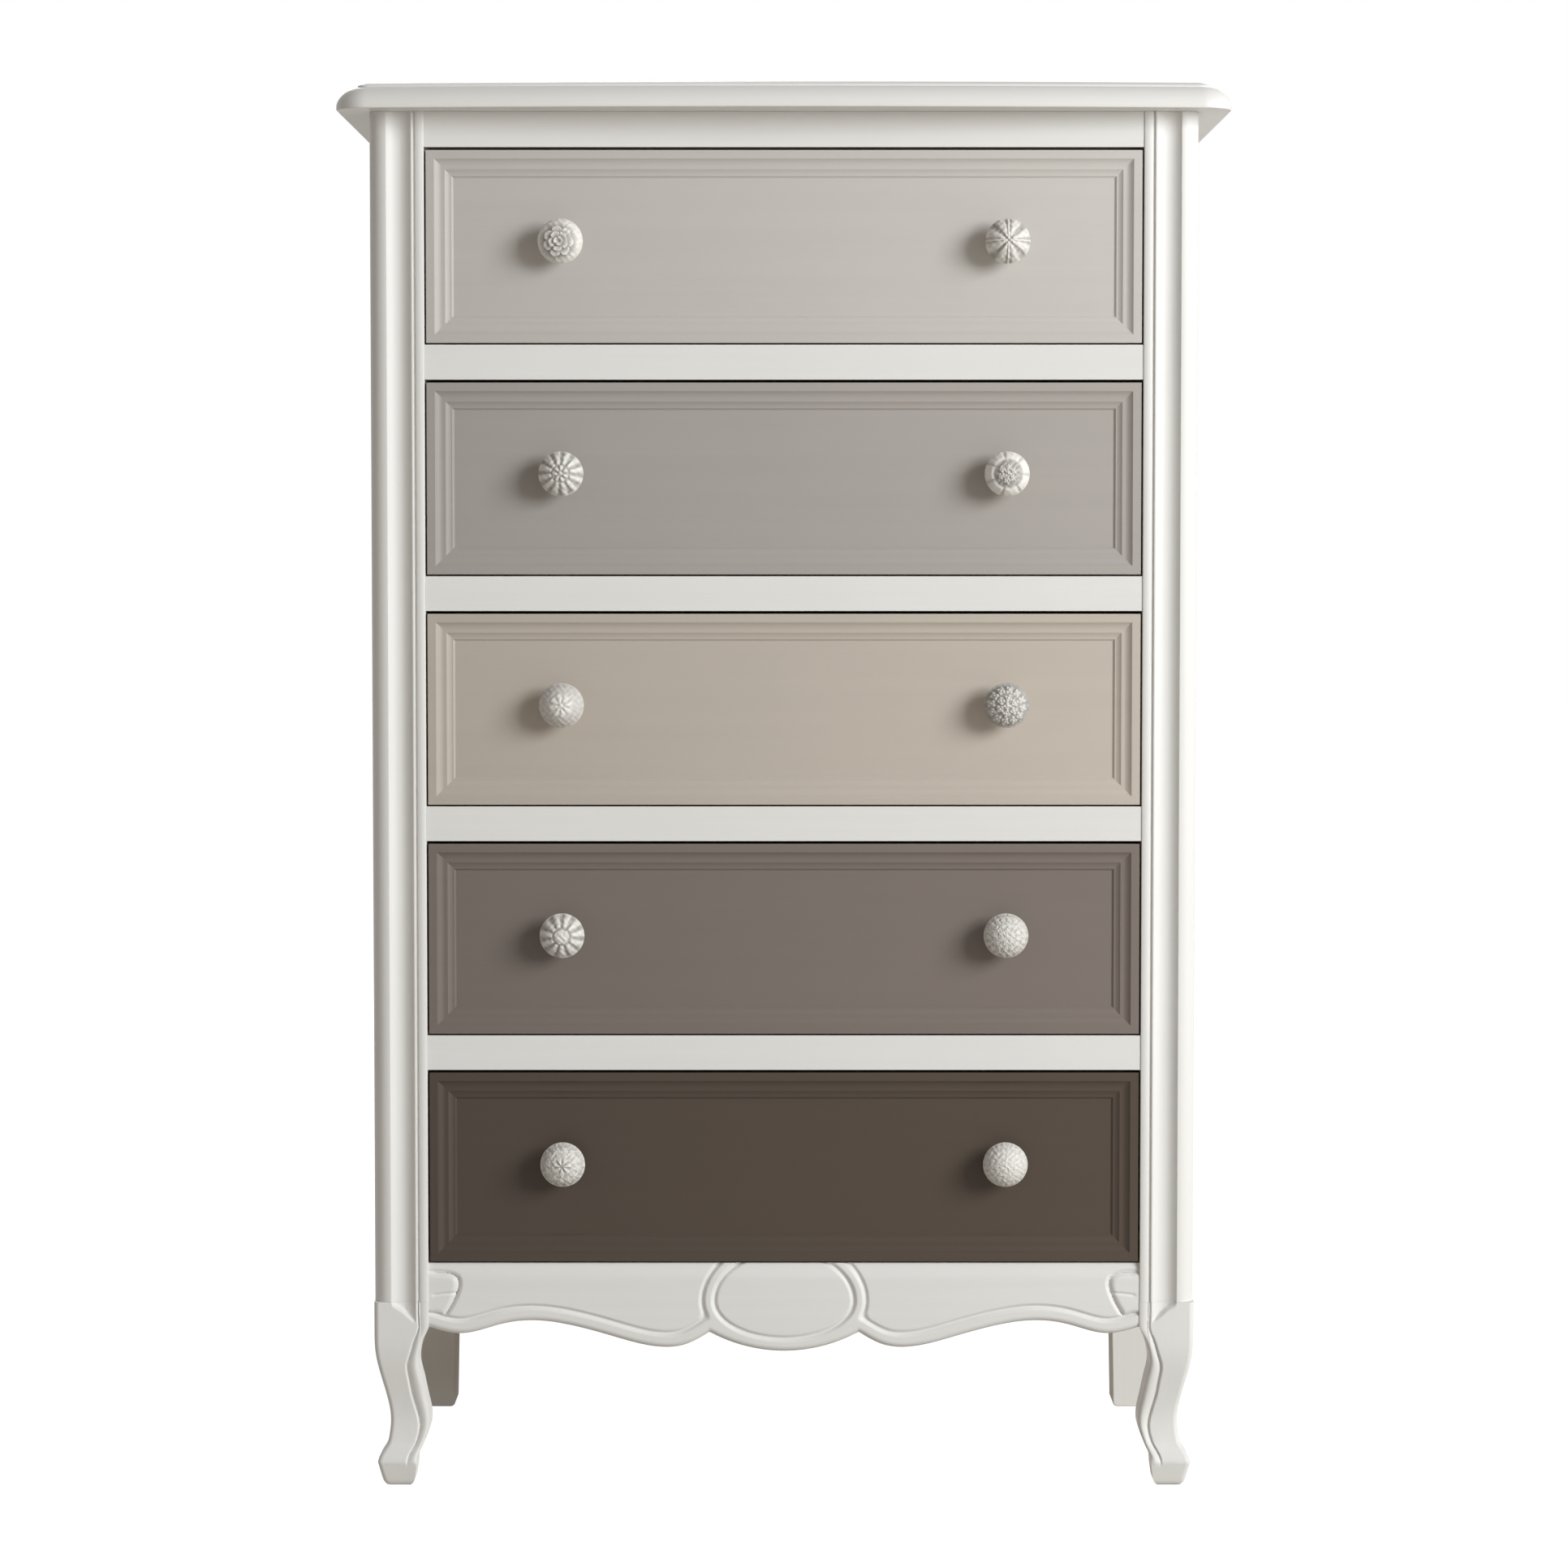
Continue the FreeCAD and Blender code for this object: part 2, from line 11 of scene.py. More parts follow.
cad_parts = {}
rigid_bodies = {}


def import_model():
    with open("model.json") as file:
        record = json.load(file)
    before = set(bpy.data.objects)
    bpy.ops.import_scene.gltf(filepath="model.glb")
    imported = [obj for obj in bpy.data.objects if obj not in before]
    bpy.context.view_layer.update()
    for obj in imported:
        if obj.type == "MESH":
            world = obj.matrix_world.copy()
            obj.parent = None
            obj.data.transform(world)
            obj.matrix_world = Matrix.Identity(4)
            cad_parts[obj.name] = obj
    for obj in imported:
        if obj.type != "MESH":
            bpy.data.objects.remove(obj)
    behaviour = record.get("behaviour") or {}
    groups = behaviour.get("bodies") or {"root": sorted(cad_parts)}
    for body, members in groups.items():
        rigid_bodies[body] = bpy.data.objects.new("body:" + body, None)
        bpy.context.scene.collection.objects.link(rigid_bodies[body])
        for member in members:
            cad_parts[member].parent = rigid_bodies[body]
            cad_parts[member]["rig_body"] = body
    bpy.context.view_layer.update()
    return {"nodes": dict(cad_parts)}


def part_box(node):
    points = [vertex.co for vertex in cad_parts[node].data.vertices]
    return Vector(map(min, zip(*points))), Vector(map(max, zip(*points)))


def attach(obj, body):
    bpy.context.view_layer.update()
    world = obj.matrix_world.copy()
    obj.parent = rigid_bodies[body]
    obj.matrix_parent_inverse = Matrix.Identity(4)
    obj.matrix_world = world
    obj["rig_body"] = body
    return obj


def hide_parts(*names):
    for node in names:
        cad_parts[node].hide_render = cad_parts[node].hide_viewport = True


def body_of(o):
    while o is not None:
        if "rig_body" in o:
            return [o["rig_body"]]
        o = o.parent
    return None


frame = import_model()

bl_info = {
    "name": "Painted chest of drawers",
    "version": (1, 0, 0),
    "blender": (4, 5, 0),
    "location": "3D View > Sidebar > Chest",
    "description": "Dresses a tall chest of five drawers with carved, moulded and painted wood",
    "category": "Object",
}

MM = 0.001
DRAWERS = range(1, 6)
SIDES = ("left", "right")


def srgb(*levels):
    """A linear colour from three levels of 0 to 255, with full opacity."""
    shares = [level / 255 for level in levels]
    linear = [s / 12.92 if s <= 0.04045 else ((s + 0.055) / 1.055) ** 2.4 for s in shares]
    return (*linear, 1.0)


def quantity(name, description, default, unit="NONE"):
    return FloatProperty(name=name, description=description, default=default, unit=unit)


def length(name, description, millimetres):
    return quantity(name, description, millimetres * MM, "LENGTH")


def colour(name, description, *levels):
    return FloatVectorProperty(
        name=name, description=description, default=srgb(*levels), size=4, subtype="COLOR")


# Places read from the construction

def span(node, axis):
    """Lowest and highest place of a node along one axis, 0 to 2."""
    low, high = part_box(node)
    return low[axis], high[axis]


CASE_SIDE = span("front_post_right", 0)[1]
CASE_FRONT = span("front_post_left", 1)[0]
OPENING_HALF = span("front_post_right", 0)[0]
BASE_TOP = span("apron", 2)[1]
APRON_FOOT = span("apron", 2)[0]
LEG_TOP = span("front_leg_left", 2)[1]
POST_WIDTH = CASE_SIDE - OPENING_HALF


# Sizes and colours that a user would change

class TopSizes(bpy.types.PropertyGroup):
    bow: length("Bow", "How far the middle of the front edge stands out", 14)
    corner_round: length("Corner round", "Radius of the front corners in plan", 30)
    rim_width: length("Rim width", "Width of the round along the front and sides", 18.5)
    rim_height: length("Rim height", "Height of the round", 16)
    step_height: length("Step height", "Small riser above the round", 2)
    brow_width: length("Brow width", "Width of the gentle curve above the riser", 12)
    wall_height: length("Wall height", "Upright part of the edge below the round", 2.8)
    under_round: length("Under round", "Radius under the rim", 1.2)


class PostSizes(bpy.types.PropertyGroup):
    outer_round: length("Outer round", "Radius of the outer corner", 15.8)
    cove_width: length("Cove width", "Width of the hollow", 21.8)
    cove_depth: length("Cove depth", "Depth of the hollow", 5.3)
    arris_width: length("Arris width", "Thin flat between the hollow and the quirk", 1.4)
    quirk_width: length("Quirk width", "Width of the narrow groove", 2.2)
    quirk_depth: length("Quirk depth", "Depth of the narrow groove", 2)
    bead_drop: length("Bead drop", "How far the edges of the bead beside the drawers lie back", 0.8)


class LegSizes(bpy.types.PropertyGroup):
    knee_round: length("Knee round", "Radius of the outer corner at the knee", 5)
    ankle_round: length("Ankle round", "Radius of the outer corner at the ankle", 4.5)
    groove_depth: length("Groove depth", "Depth of the groove beside the roll", 2.7)
    wall_width: length("Wall width", "Width of the groove's steep outer wall", 1.6)
    roll_drop: length("Roll drop", "How far the roll falls towards the inner edge", 2.2)
    toe_round: length("Toe round", "Radius of the rear legs' toes", 4.5)
    rear_taper: length("Rear taper", "How much a rear leg narrows", 3)
    rear_height: length("Rear height", "Height of the part of a rear leg that narrows", 150)


class ApronSizes(bpy.types.PropertyGroup):
    border_width: length("Border width", "From the lower edge to the carved line", 13)
    field_depth: length("Field depth", "How far the field lies behind the border", 0.7)
    line_depth: length("Line depth", "Depth of the carved lines", 2.3)
    line_reach: length("Line reach", "Half the width of the carved lines", 3.3)
    edge_round: length("Edge round", "Radius along the lower edge", 5.5)
    oval_half_width: length("Oval half width", "Half the width of the inner oval", 62.7)
    oval_drop: length("Oval drop", "From the middle of the oval to its lowest point", 34.3)
    oval_rise: length("Oval rise", "From the middle of the oval to its highest point", 44)
    oval_below: length("Oval below", "From the apron's top down to the middle of the oval", 34)
    ring_width: length("Ring width", "Width of the ring round the oval", 10.8)
    head_height: length("Head height", "Height of the part that falls back under the drawer", 16)
    head_depth: length("Head depth", "How far it falls back", 3.2)
    shell_width: length("Shell width", "Width of the carved shell at each end", 27.7)
    shell_top: length("Shell top", "From the apron's top down to the shell", 8)
    shell_widest: length("Shell widest", "From the apron's top down to the shell's widest place", 19)
    shell_middle: length("Shell middle", "From the apron's top down to the line between the lobes", 27)
    shell_foot: length("Shell foot", "From the apron's top down to the shell's foot", 40)
    shell_swell: length("Shell swell", "How far the lobes swell", 1.5)


class DrawerFrontSizes(bpy.types.PropertyGroup):
    outer_flat: length("Outer flat", "Flat rim of the moulded frame", 7.3)
    first_cove: length("First hollow", "Width of the first hollow", 8)
    first_depth: length("First depth", "Depth of the first hollow", 3.4)
    middle_flat: length("Middle flat", "Flat between the hollows", 1.3)
    second_cove: length("Second hollow", "Width of the second hollow", 4.8)
    second_depth: length("Second depth", "Depth of the second hollow", 2.2)
    inner_flat: length("Inner flat", "Flat before the last step", 0.9)
    step_width: length("Step width", "Width of the last step", 2)
    step_depth: length("Step depth", "Depth of the last step", 1.6)
    edge_round: length("Edge round", "Radius of the outer edges", 0.6)
    worn_round: length("Worn round", "Radius of the edges inside the frame", 0.7)


class KnobSizes(bpy.types.PropertyGroup):
    radius: length("Radius", "Radius of the head", 20)
    reach: length("Reach", "From the drawer's face to the tip", 35)
    foot_radius: length("Foot radius", "Radius of the foot", 10)
    foot_length: length("Foot length", "Thickness of the foot", 4)
    neck_radius: length("Neck radius", "Radius of the neck at its thinnest", 7.5)
    neck_length: length("Neck length", "From the drawer's face to the head", 13)
    relief: length("Relief", "Depth of the carving", 2)
    turns: IntProperty(name="Turns", description="Steps round the knob", default=168)


class Finishes(bpy.types.PropertyGroup):
    white: colour("White", "Satin paint of the case", 222, 221, 218)
    drawer_1: colour("Drawer 1", "Paint of the top drawer", 189, 185, 180)
    drawer_2: colour("Drawer 2", "Paint of the second drawer", 163, 158, 153)
    drawer_3: colour("Drawer 3", "Paint of the middle drawer", 183, 174, 164)
    drawer_4: colour("Drawer 4", "Paint of the fourth drawer", 118, 109, 103)
    drawer_5: colour("Drawer 5", "Paint of the lowest drawer", 77, 67, 59)
    # Painted light: the drift makes the drawers' paint paler towards the right, where the key lamp
    # stands
    drift: quantity("Drift", "How much paler the drawers' paint grows to the right, per metre", 0.28)
    knob: colour("Knob", "Paint of the knobs", 234, 231, 225)
    pale_wood: colour("Pale wood", "Pale wood of the drawer boxes", 214, 190, 152)
    dark_wood: colour("Dark wood", "Grain lines of the drawer boxes", 178, 146, 104)
    steel: colour("Steel", "Screws", 150, 152, 155)


class StageSettings(bpy.types.PropertyGroup):
    camera_distance: length("Camera distance", "From the case's front", 3900)
    camera_height: length("Camera height", "Above the floor", 840)
    camera_pitch: quantity("Camera pitch", "Downward tilt", math.radians(3.027), "ROTATION")
    camera_lens: quantity("Camera lens", "Focal length in millimetres", 100.45)
    key_power: quantity("Key power", "Main lamp in watts", 258, "POWER")
    key_size: length("Key size", "Side of the main lamp", 2200)
    key_tint: colour("Key tint", "Colour of the main lamp", 250, 253, 255)
    fill_power: quantity("Fill power", "Left lamp in watts", 10, "POWER")
    fill_size: length("Fill size", "Side of the left lamp", 2500)
    back_power: quantity("Back power", "Rear lamp in watts", 60, "POWER")
    back_size: length("Back size", "Side of the rear lamp", 1400)
    room_light: quantity("Room light", "Even light from all sides", 0.28)
    room_tint: colour("Room tint", "Colour of the even light", 255, 247, 238)
    floor_tint: colour("Floor tint", "Colour of the floor as it lights the chest", 198, 192, 183)
    shadow_tint: colour("Shadow tint", "Colour of the floor as it takes the shadow", 165, 165, 165)
    floor_glow: quantity("Floor glow", "Lifts the floor to white", 0.93)


GROUPS = {
    "chest_top": TopSizes,
    "chest_post": PostSizes,
    "chest_leg": LegSizes,
    "chest_apron": ApronSizes,
    "chest_front": DrawerFrontSizes,
    "chest_knob": KnobSizes,
    "chest_finish": Finishes,
    "chest_stage": StageSettings,
}


# Materials

class Wire:
    """An output of a node, which can be used in sums."""

    def __init__(self, recipe, socket):
        self.recipe = recipe
        self.socket = socket

    def math(self, operation, *terms):
        return self.recipe.add("Math", dict(enumerate(terms)), operation=operation)

    def __add__(self, other):
        return self.math("ADD", self, other)

    def __sub__(self, other):
        return self.math("SUBTRACT", self, other)

    def __rsub__(self, other):
        return self.math("SUBTRACT", other, self)

    def __mul__(self, other):
        return self.math("MULTIPLY", self, other)

    __radd__ = __add__
    __rmul__ = __mul__


class Recipe:
    """The nodes of one material or world."""

    def __init__(self, owner):
        owner.use_nodes = True
        self.tree = owner.node_tree
        self.tree.nodes.clear()

    def add(self, kind, values=None, output=0, **settings):
        """Adds a node. Its settings come first, then the values or wires of its sockets."""
        node = self.tree.nodes.new("ShaderNode" + kind)
        for key, value in settings.items():
            setattr(node, key, value)
        for key, value in (values or {}).items():
            if isinstance(value, Wire):
                self.tree.links.new(value.socket, node.inputs[key])
            else:
                node.inputs[key].default_value = value
        return Wire(self, node.outputs[output]) if node.outputs else None

    def place(self):
        return self.add("TexCoord", output="Object")

    def noise(self, scale, detail=3.0, roughness=0.5):
        """Noise over the piece, with one scale or a scale for each axis."""
        if not isinstance(scale, tuple):
            scale = (scale,) * 3
        place = self.add("Mapping", {"Vector": self.place(), "Scale": scale})
        values = {"Vector": place, "Scale": 1.0, "Detail": detail, "Roughness": roughness}
        return self.add("TexNoise", values)

    def tint(self, shade, amount):
        """A colour made lighter or darker by a factor."""
        return self.add("VectorMath", {0: tuple(shade)[:3], "Scale": amount}, operation="SCALE")

    def coat(self, shade, roughness, height, strength, depth, **others):
        """Ends a material: a colour, a roughness and a fine relief, its depth in millimetres."""
        bump = self.add("Bump", {"Height": height, "Strength": strength, "Distance": depth * MM})
        values = {"Base Color": shade, "Roughness": roughness, "Normal": bump, **others}
        self.add("OutputMaterial", {"Surface": self.add("BsdfPrincipled", values)})


def stretched(along, far, near):
    """A scale that is low along one axis and high across it."""
    return tuple(near if axis == along else far for axis in "XYZ")


def paint(recipe, shade, along, sheen=0.2, drift=0.0):
    """Satin paint with the faint strokes of a brush along one axis, and with painted light: a drift
    makes it paler to the right, where the key lamp stands.
    """
    strokes = recipe.noise(stretched(along, 520, 5), roughness=0.6)
    ripple = recipe.noise(stretched(along, 90, 2), 2.0)
    mottle = recipe.noise(7.0)
    tone = 1 + 0.035 * (strokes - 0.5) + 0.05 * (ripple - 0.5) + 0.05 * (mottle - 0.5)
    # Painted light: the colour grows paler towards +X, as if lit more strongly from the right
    if drift:
        tone = tone + drift * recipe.add("SeparateXYZ", {"Vector": recipe.place()})
    roughness = 0.45 + 0.12 * (mottle - 0.5) + 0.06 * (strokes - 0.5)
    height = 0.5 * strokes + 0.5 * ripple
    recipe.coat(recipe.tint(shade, tone), roughness, height, 0.5, 0.12, **{"Specular IOR Level": sheen})


def cast_paint(recipe, shade):
    """Matt paint on the carved knobs, with painted shade that makes it greyer in the hollows of the
    carving.
    """
    relief = recipe.add("Attribute", output="Fac", attribute_name="relief")
    grit = recipe.noise(900.0, 2.0)
    # Painted shade: the colour darkens down to 0.36 of the paint in the deepest cuts of the carving
    tone = 0.36 + 0.64 * relief + 0.05 * (grit - 0.5)
    recipe.coat(recipe.tint(shade, tone), 0.62 - 0.1 * relief, grit, 0.5, 0.08)


def wood(recipe, pale, dark, along, bands=26.0):
    """Bare wood with growth lines and fine pores along one axis."""
    waves = recipe.noise(stretched(along, bands, bands / 14), 4.0, 0.55)
    pores = recipe.noise(stretched(along, 900, 14), 2.0)
    drift = recipe.noise(2.5, 2.0)
    lines = waves.math("PINGPONG", waves * 9, 1.0)
    share = 0.55 * lines + 0.25 * pores + 0.3 * (drift - 0.5)
    shade = recipe.add("Mix", {0: share, 6: tuple(pale), 7: tuple(dark)}, 2, data_type="RGBA")
    recipe.coat(shade, 0.6 + 0.12 * (pores - 0.5), pores, 0.4, 0.15)


def metal(recipe, shade):
    grain = recipe.noise(1400.0, 2.0)
    tone = 0.92 + 0.16 * grain
    recipe.coat(recipe.tint(shade, tone), 0.3 + 0.15 * grain, grain, 0.3, 0.03, Metallic=1.0)


def shared(name, maker, *settings):
    """One finish of a name, made when it is first asked for."""
    name = "finish_" + name
    material = bpy.data.materials.get(name)
    if material is None:
        material = bpy.data.materials.new(name)
        maker(Recipe(material), *settings)
    return material


def white(along):
    shade = bpy.context.scene.chest_finish.white
    return shared("white_paint_" + along.lower(), paint, shade, along)


# Ways of modelling

def alone(piece):
    bpy.ops.object.select_all(action="DESELECT")
    piece.select_set(True)
    bpy.context.view_layer.objects.active = piece


@contextmanager
def editing(piece, mode="FACE", start="DESELECT"):
    """Edit mode on one piece, with nothing selected at the start, or all of it."""
    alone(piece)
    bpy.ops.object.mode_set(mode="EDIT")
    bpy.ops.mesh.select_mode(type=mode)
    bpy.ops.mesh.select_all(action=start)
    yield
    bpy.ops.object.mode_set(mode="OBJECT")


def face_out():
    """Turns all faces of the piece in edit mode outwards."""
    bpy.ops.mesh.select_all(action="SELECT")
    bpy.ops.mesh.normals_make_consistent(inside=False)


def pick(piece, kind, test):
    """Selects the faces or edges that pass a test, in edit mode."""
    mesh = bmesh.from_edit_mesh(piece.data)
    for item in getattr(mesh, kind):
        item.select_set(bool(test(item)))
    bmesh.update_edit_mesh(piece.data)


def middle(edge):
    return (edge.verts[0].co + edge.verts[1].co) / 2


def started(name, add, **settings):
    """A primitive, named for the piece that it becomes."""
    bpy.ops.object.select_all(action="DESELECT")
    add(**settings)
    piece = bpy.context.object
    piece.name = piece.data.name = name
    return piece


def block(name, low, high):
    low, high = Vector(low), Vector(high)
    piece = started(name, bpy.ops.mesh.primitive_cube_add, size=1, location=(low + high) / 2)
    piece.scale = high - low
    bpy.ops.object.transform_apply(location=True, rotation=True, scale=True)
    return piece


def drawn(name, points, filled=True):
    """An outline drawn by extruding one corner from point to point."""
    points = [Vector(point) for point in points]
    piece = started(name, bpy.ops.mesh.primitive_plane_add, size=MM, location=points[0])
    with editing(piece, "VERT", "SELECT"):
        bpy.ops.mesh.merge(type="CENTER")
        for here, there in zip(points, points[1:]):
            bpy.ops.mesh.extrude_vertices_move(TRANSFORM_OT_translate={"value": there - here})
        if filled:
            bpy.ops.mesh.select_all(action="SELECT")
            bpy.ops.mesh.edge_face_add()
    bpy.ops.object.transform_apply(location=True, rotation=True, scale=True)
    return piece


def pulled(piece, step):
    """Extrudes all of a flat piece into a closed solid."""
    with editing(piece, start="SELECT"):
        bpy.ops.mesh.extrude_region_move(TRANSFORM_OT_translate={"value": step})
        face_out()


def with_modifier(piece, kind, **settings):
    """Adds a modifier and applies it."""
    alone(piece)
    modifier = piece.modifiers.new(kind.lower(), kind)
    for key, value in settings.items():
        setattr(modifier, key, value)
    bpy.ops.object.modifier_apply(modifier=modifier.name)


def ease(piece, width, segments=2, angle=math.radians(30)):
    """Rounds every edge that is sharper than an angle."""
    with_modifier(
        piece, "BEVEL", width=width, segments=segments, limit_method="ANGLE", angle_limit=angle)


def places_of(piece):
    places = np.empty(len(piece.data.vertices) * 3)
    piece.data.vertices.foreach_get("co", places)
    return places.reshape(-1, 3)


def moved(piece, places):
    """Gives every vertex its new place."""
    piece.data.vertices.foreach_set("co", np.ascontiguousarray(places, float).ravel())
    piece.data.update()


def hand_over(piece, slot, material, *nodes, smooth=math.radians(35)):
    """Finishes a piece: its place goes into its mesh, and it stands for its nodes on their body."""
    alone(piece)
    bpy.ops.object.transform_apply(location=True, rotation=True, scale=True)
    bpy.ops.object.shade_smooth_by_angle(angle=smooth)
    with_modifier(piece, "WEIGHTED_NORMAL", keep_sharp=True)
    piece.data.materials.clear()
    piece.data.materials.append(material)
    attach(piece, body_of(frame["nodes"][nodes[0]])[0])
    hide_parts(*nodes)


def copy_of(mesh, name):
    """A new piece with its own copy of a mesh."""
    piece = bpy.data.objects.new(name, mesh.copy())
    bpy.context.scene.collection.objects.link(piece)
    return piece


def eased_copy(node, slot, material, width=0.8, segments=2):
    """A copy of a node with whole faces in place of triangles, its edges eased by some millimetres."""
    piece = copy_of(frame["nodes"][node].data, node + "_finished")
    with editing(piece, start="SELECT"):
        bpy.ops.mesh.remove_doubles(threshold=0.001 * MM)
        bpy.ops.mesh.dissolve_limited(angle_limit=math.radians(0.5))
    ease(piece, width * MM, segments)
    hand_over(piece, slot, material, node)


def mirrored_copy(piece):
    """The same piece for the right side of the chest, with its faces turned out again."""
    other = copy_of(piece.data, piece.name.replace("left", "right"))
    moved(other, places_of(other) * (-1, 1, 1))
    with editing(other, start="SELECT"):
        bpy.ops.mesh.flip_normals()
    return other


def hand_over_pair(left, material, **settings):
    """Finishes a white piece of the left side and its mirrored copy."""
    for piece in (left, mirrored_copy(left)):
        hand_over(piece, "white_paint", material, piece.name.rpartition("_")[0], **settings)


def smooth_line(knots):
    """A natural cubic spline through (place, value) points, as a function of the place."""
    x, y = np.array(knots, float).T
    step = np.diff(x)
    inner = np.arange(1, len(step))
    system = np.diag([1, *2 * (step[:-1] + step[1:]), 1])
    system[inner, inner - 1] = step[:-1]
    system[inner, inner + 1] = step[1:]
    bend = np.linalg.solve(system, [0, *6 * np.diff(np.diff(y) / step), 0])

    def line(place):
        place = np.clip(place, x[0], x[-1])
        i = np.clip(np.searchsorted(x, place) - 1, 0, len(step) - 1)
        h = step[i]
        a = (x[i + 1] - place) / h
        b = (place - x[i]) / h
        curve = ((a ** 3 - a) * bend[i] + (b ** 3 - b) * bend[i + 1]) * h ** 2 / 6
        return a * y[i] + b * y[i + 1] + curve

    return line


def rise(value, start, end):
    """Goes smoothly from 0 to 1 between two values."""
    share = np.clip((value - start) / (end - start), 0, 1)
    return share * share * (3 - 2 * share)


def soft_max(first, second, reach):
    """The larger of two values, with a fillet where they meet."""
    lap = np.maximum(reach - abs(first - second), 0)
    return np.maximum(first, second) + lap ** 2 / (4 * reach)


def arc_radius(half, depth):
    """Radius of an arc, by half its width and its depth."""
    return (half ** 2 + depth ** 2) / (2 * depth)


def arc_points(centre, radius, start, end, steps):
    """Points of an arc in plan, from one angle in degrees to another."""
    angles = np.radians(np.linspace(start, end, steps + 1))
    return [(centre[0] + radius * math.cos(a), centre[1] + radius * math.sin(a)) for a in angles]


# Top board

def top_outline(sizes, low, high):
    """The board in plan, from the back right round the bowed front to the back left."""
    side = high.x
    radius = arc_radius(side, sizes.bow)
    centre_y = low.y + radius
    corner = sizes.corner_round
    cx = side - corner
    cy = centre_y - math.sqrt((radius - corner) ** 2 - cx ** 2)
    lean = math.degrees(math.atan2(centre_y - cy, cx))
    right = arc_points((cx, cy), corner, 0, -lean, 14)
    half_turn = math.asin(right[-1][0] / radius)
    bow = [
        (radius * math.sin(turn), centre_y - radius * math.cos(turn))
        for turn in np.linspace(half_turn, -half_turn, 49)
    ]
    left = [(-x, y) for x, y in reversed(right)]
    return [(side, high.y)] + right + bow[1:-1] + left + [(-side, high.y)]


def rim_profile(sizes):
    """The rim's section from its widest line to the flat top: (inwards, up) from that line."""
    fullness = 1.2
    profile = [(0, 0)] + [
        (
            sizes.rim_width * (1 - math.cos(turn) ** fullness),
            sizes.rim_height * math.sin(turn) ** fullness + sizes.wall_height,
        )
        for turn in np.linspace(0, math.pi / 2, 15)
    ]
    inwards = profile[-1][0] + sizes.step_height * 0.4
    up = profile[-1][1] + sizes.step_height
    low, high = span("top_panel", 2)
    brow_height = high - low - sizes.under_round - up
    for share in np.linspace(0, 1, 7):
        profile.append((inwards + sizes.brow_width * share, up + brow_height * (1 - (1 - share) ** 2)))
    return profile


class MakeTopBoard(bpy.types.Operator):
    """Makes the bowed top board with its wide rounded rim"""
    bl_idname = "chest.top_board"
    bl_label = "Top board"

    def execute(self, context):
        sizes = context.scene.chest_top
        low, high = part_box("top_panel")
        spare = 2 * (sizes.rim_width + sizes.brow_width)
        outline = top_outline(sizes, low, high + Vector((0, spare, 0)))
        board = drawn("top_board", [(x, y, low.z) for x, y in outline])
        pulled(board, (0, 0, sizes.under_round))
        with editing(board, "EDGE"):
            pick(board, "edges", lambda edge: middle(edge).z < low.z + 0.01 * MM)
            bpy.ops.mesh.bevel(offset=sizes.under_round * 0.98, segments=5, profile=0.5)
        profile = rim_profile(sizes)
        with editing(board):
            pick(board, "faces", lambda face: face.normal.z > 0.99)
            for (in_1, up_1), (in_2, up_2) in zip(profile, profile[1:]):
                bpy.ops.mesh.inset(thickness=in_2 - in_1, depth=up_2 - up_1)
            bpy.ops.mesh.select_all(action="SELECT")
            bpy.ops.mesh.bisect(
                plane_co=(0, high.y, 0), plane_no=(0, 1, 0), clear_outer=True, use_fill=True)
        ease(board, 0.5 * MM, 3, math.radians(40))
        hand_over(board, "white_paint", white("X"), "top_panel")
        return {"FINISHED"}


# Front posts and legs

def post_outline(sizes):
    """The left front post in plan, from the back of its outer side round the front."""
    outer, front = -CASE_SIDE, CASE_FRONT
    inner = outer + POST_WIDTH
    back = span("front_post_left", 1)[1]
    radius = sizes.outer_round
    corner = arc_points((outer + radius, front + radius), radius, 180, 270, 12)
    half = sizes.cove_width / 2
    bowl = arc_radius(half, sizes.cove_depth)
    reach = math.degrees(math.asin(half / bowl))
    centre = (outer + radius + half, front + sizes.cove_depth - bowl)
    cove = arc_points(centre, bowl, 90 + reach, 90 - reach, 18)
    quirk = outer + radius + sizes.cove_width + sizes.arris_width
    deep = front + sizes.quirk_depth
    start = quirk + sizes.quirk_width
    bead = [
        (start + (inner - start) * share, front + sizes.bead_drop * (2 * share - 1) ** 2)
        for share in np.linspace(0, 1, 13)
    ]
    groove = [(quirk, front), (quirk, deep), (start, deep)]
    return corner + cove[1:] + groove + bead + [(inner, back), (outer, back)]


class MakeFrontPosts(bpy.types.Operator):
    """Makes the two moulded front posts"""
    bl_idname = "chest.front_posts"
    bl_label = "Front posts"

    def execute(self, context):
        low, high = span("front_post_left", 2)
        left = drawn("front_post_left_moulded", [
            (x, y, low) for x, y in post_outline(context.scene.chest_post)
        ])
        pulled(left, (0, 0, high - low))
        ease(left, 0.35 * MM)
        hand_over_pair(left, white("Z"))
        return {"FINISHED"}


# Outline of the front leg: (height above the floor, inwards from the case's side), both as
# shares of the leg's height and the post's width
leg_sole_shares = [(0.0, 0.205), (0.012, 0.168), (0.035, 0.132), (0.06, 0.108), (0.128, 0.047)]
leg_outer_shares = [
    (0.128, 0.047), (0.162, 0.085), (0.208, 0.188), (0.262, 0.245), (0.34, 0.272), (0.395, 0.262),
    (0.466, 0.218), (0.58, 0.12), (0.688, 0.035), (0.743, 0.010), (0.83, 0.0), (1.0, 0.0),
]
leg_inner_shares = [
    (0.0, 0.65), (0.012, 0.69), (0.049, 0.735), (0.107, 0.76), (0.161, 0.785), (0.208, 0.865),
    (0.256, 0.93), (0.315, 0.985), (0.385, 0.98), (0.468, 0.925), (0.578, 0.853), (0.66, 0.80),
    (0.735, 0.825), (0.80, 0.90), (0.865, 1.0), (0.93, 1.0), (1.0, 1.0),
]
# Above these heights the leg is as wide as the post
outer_straight_from, inner_straight_from = 0.83, 0.865

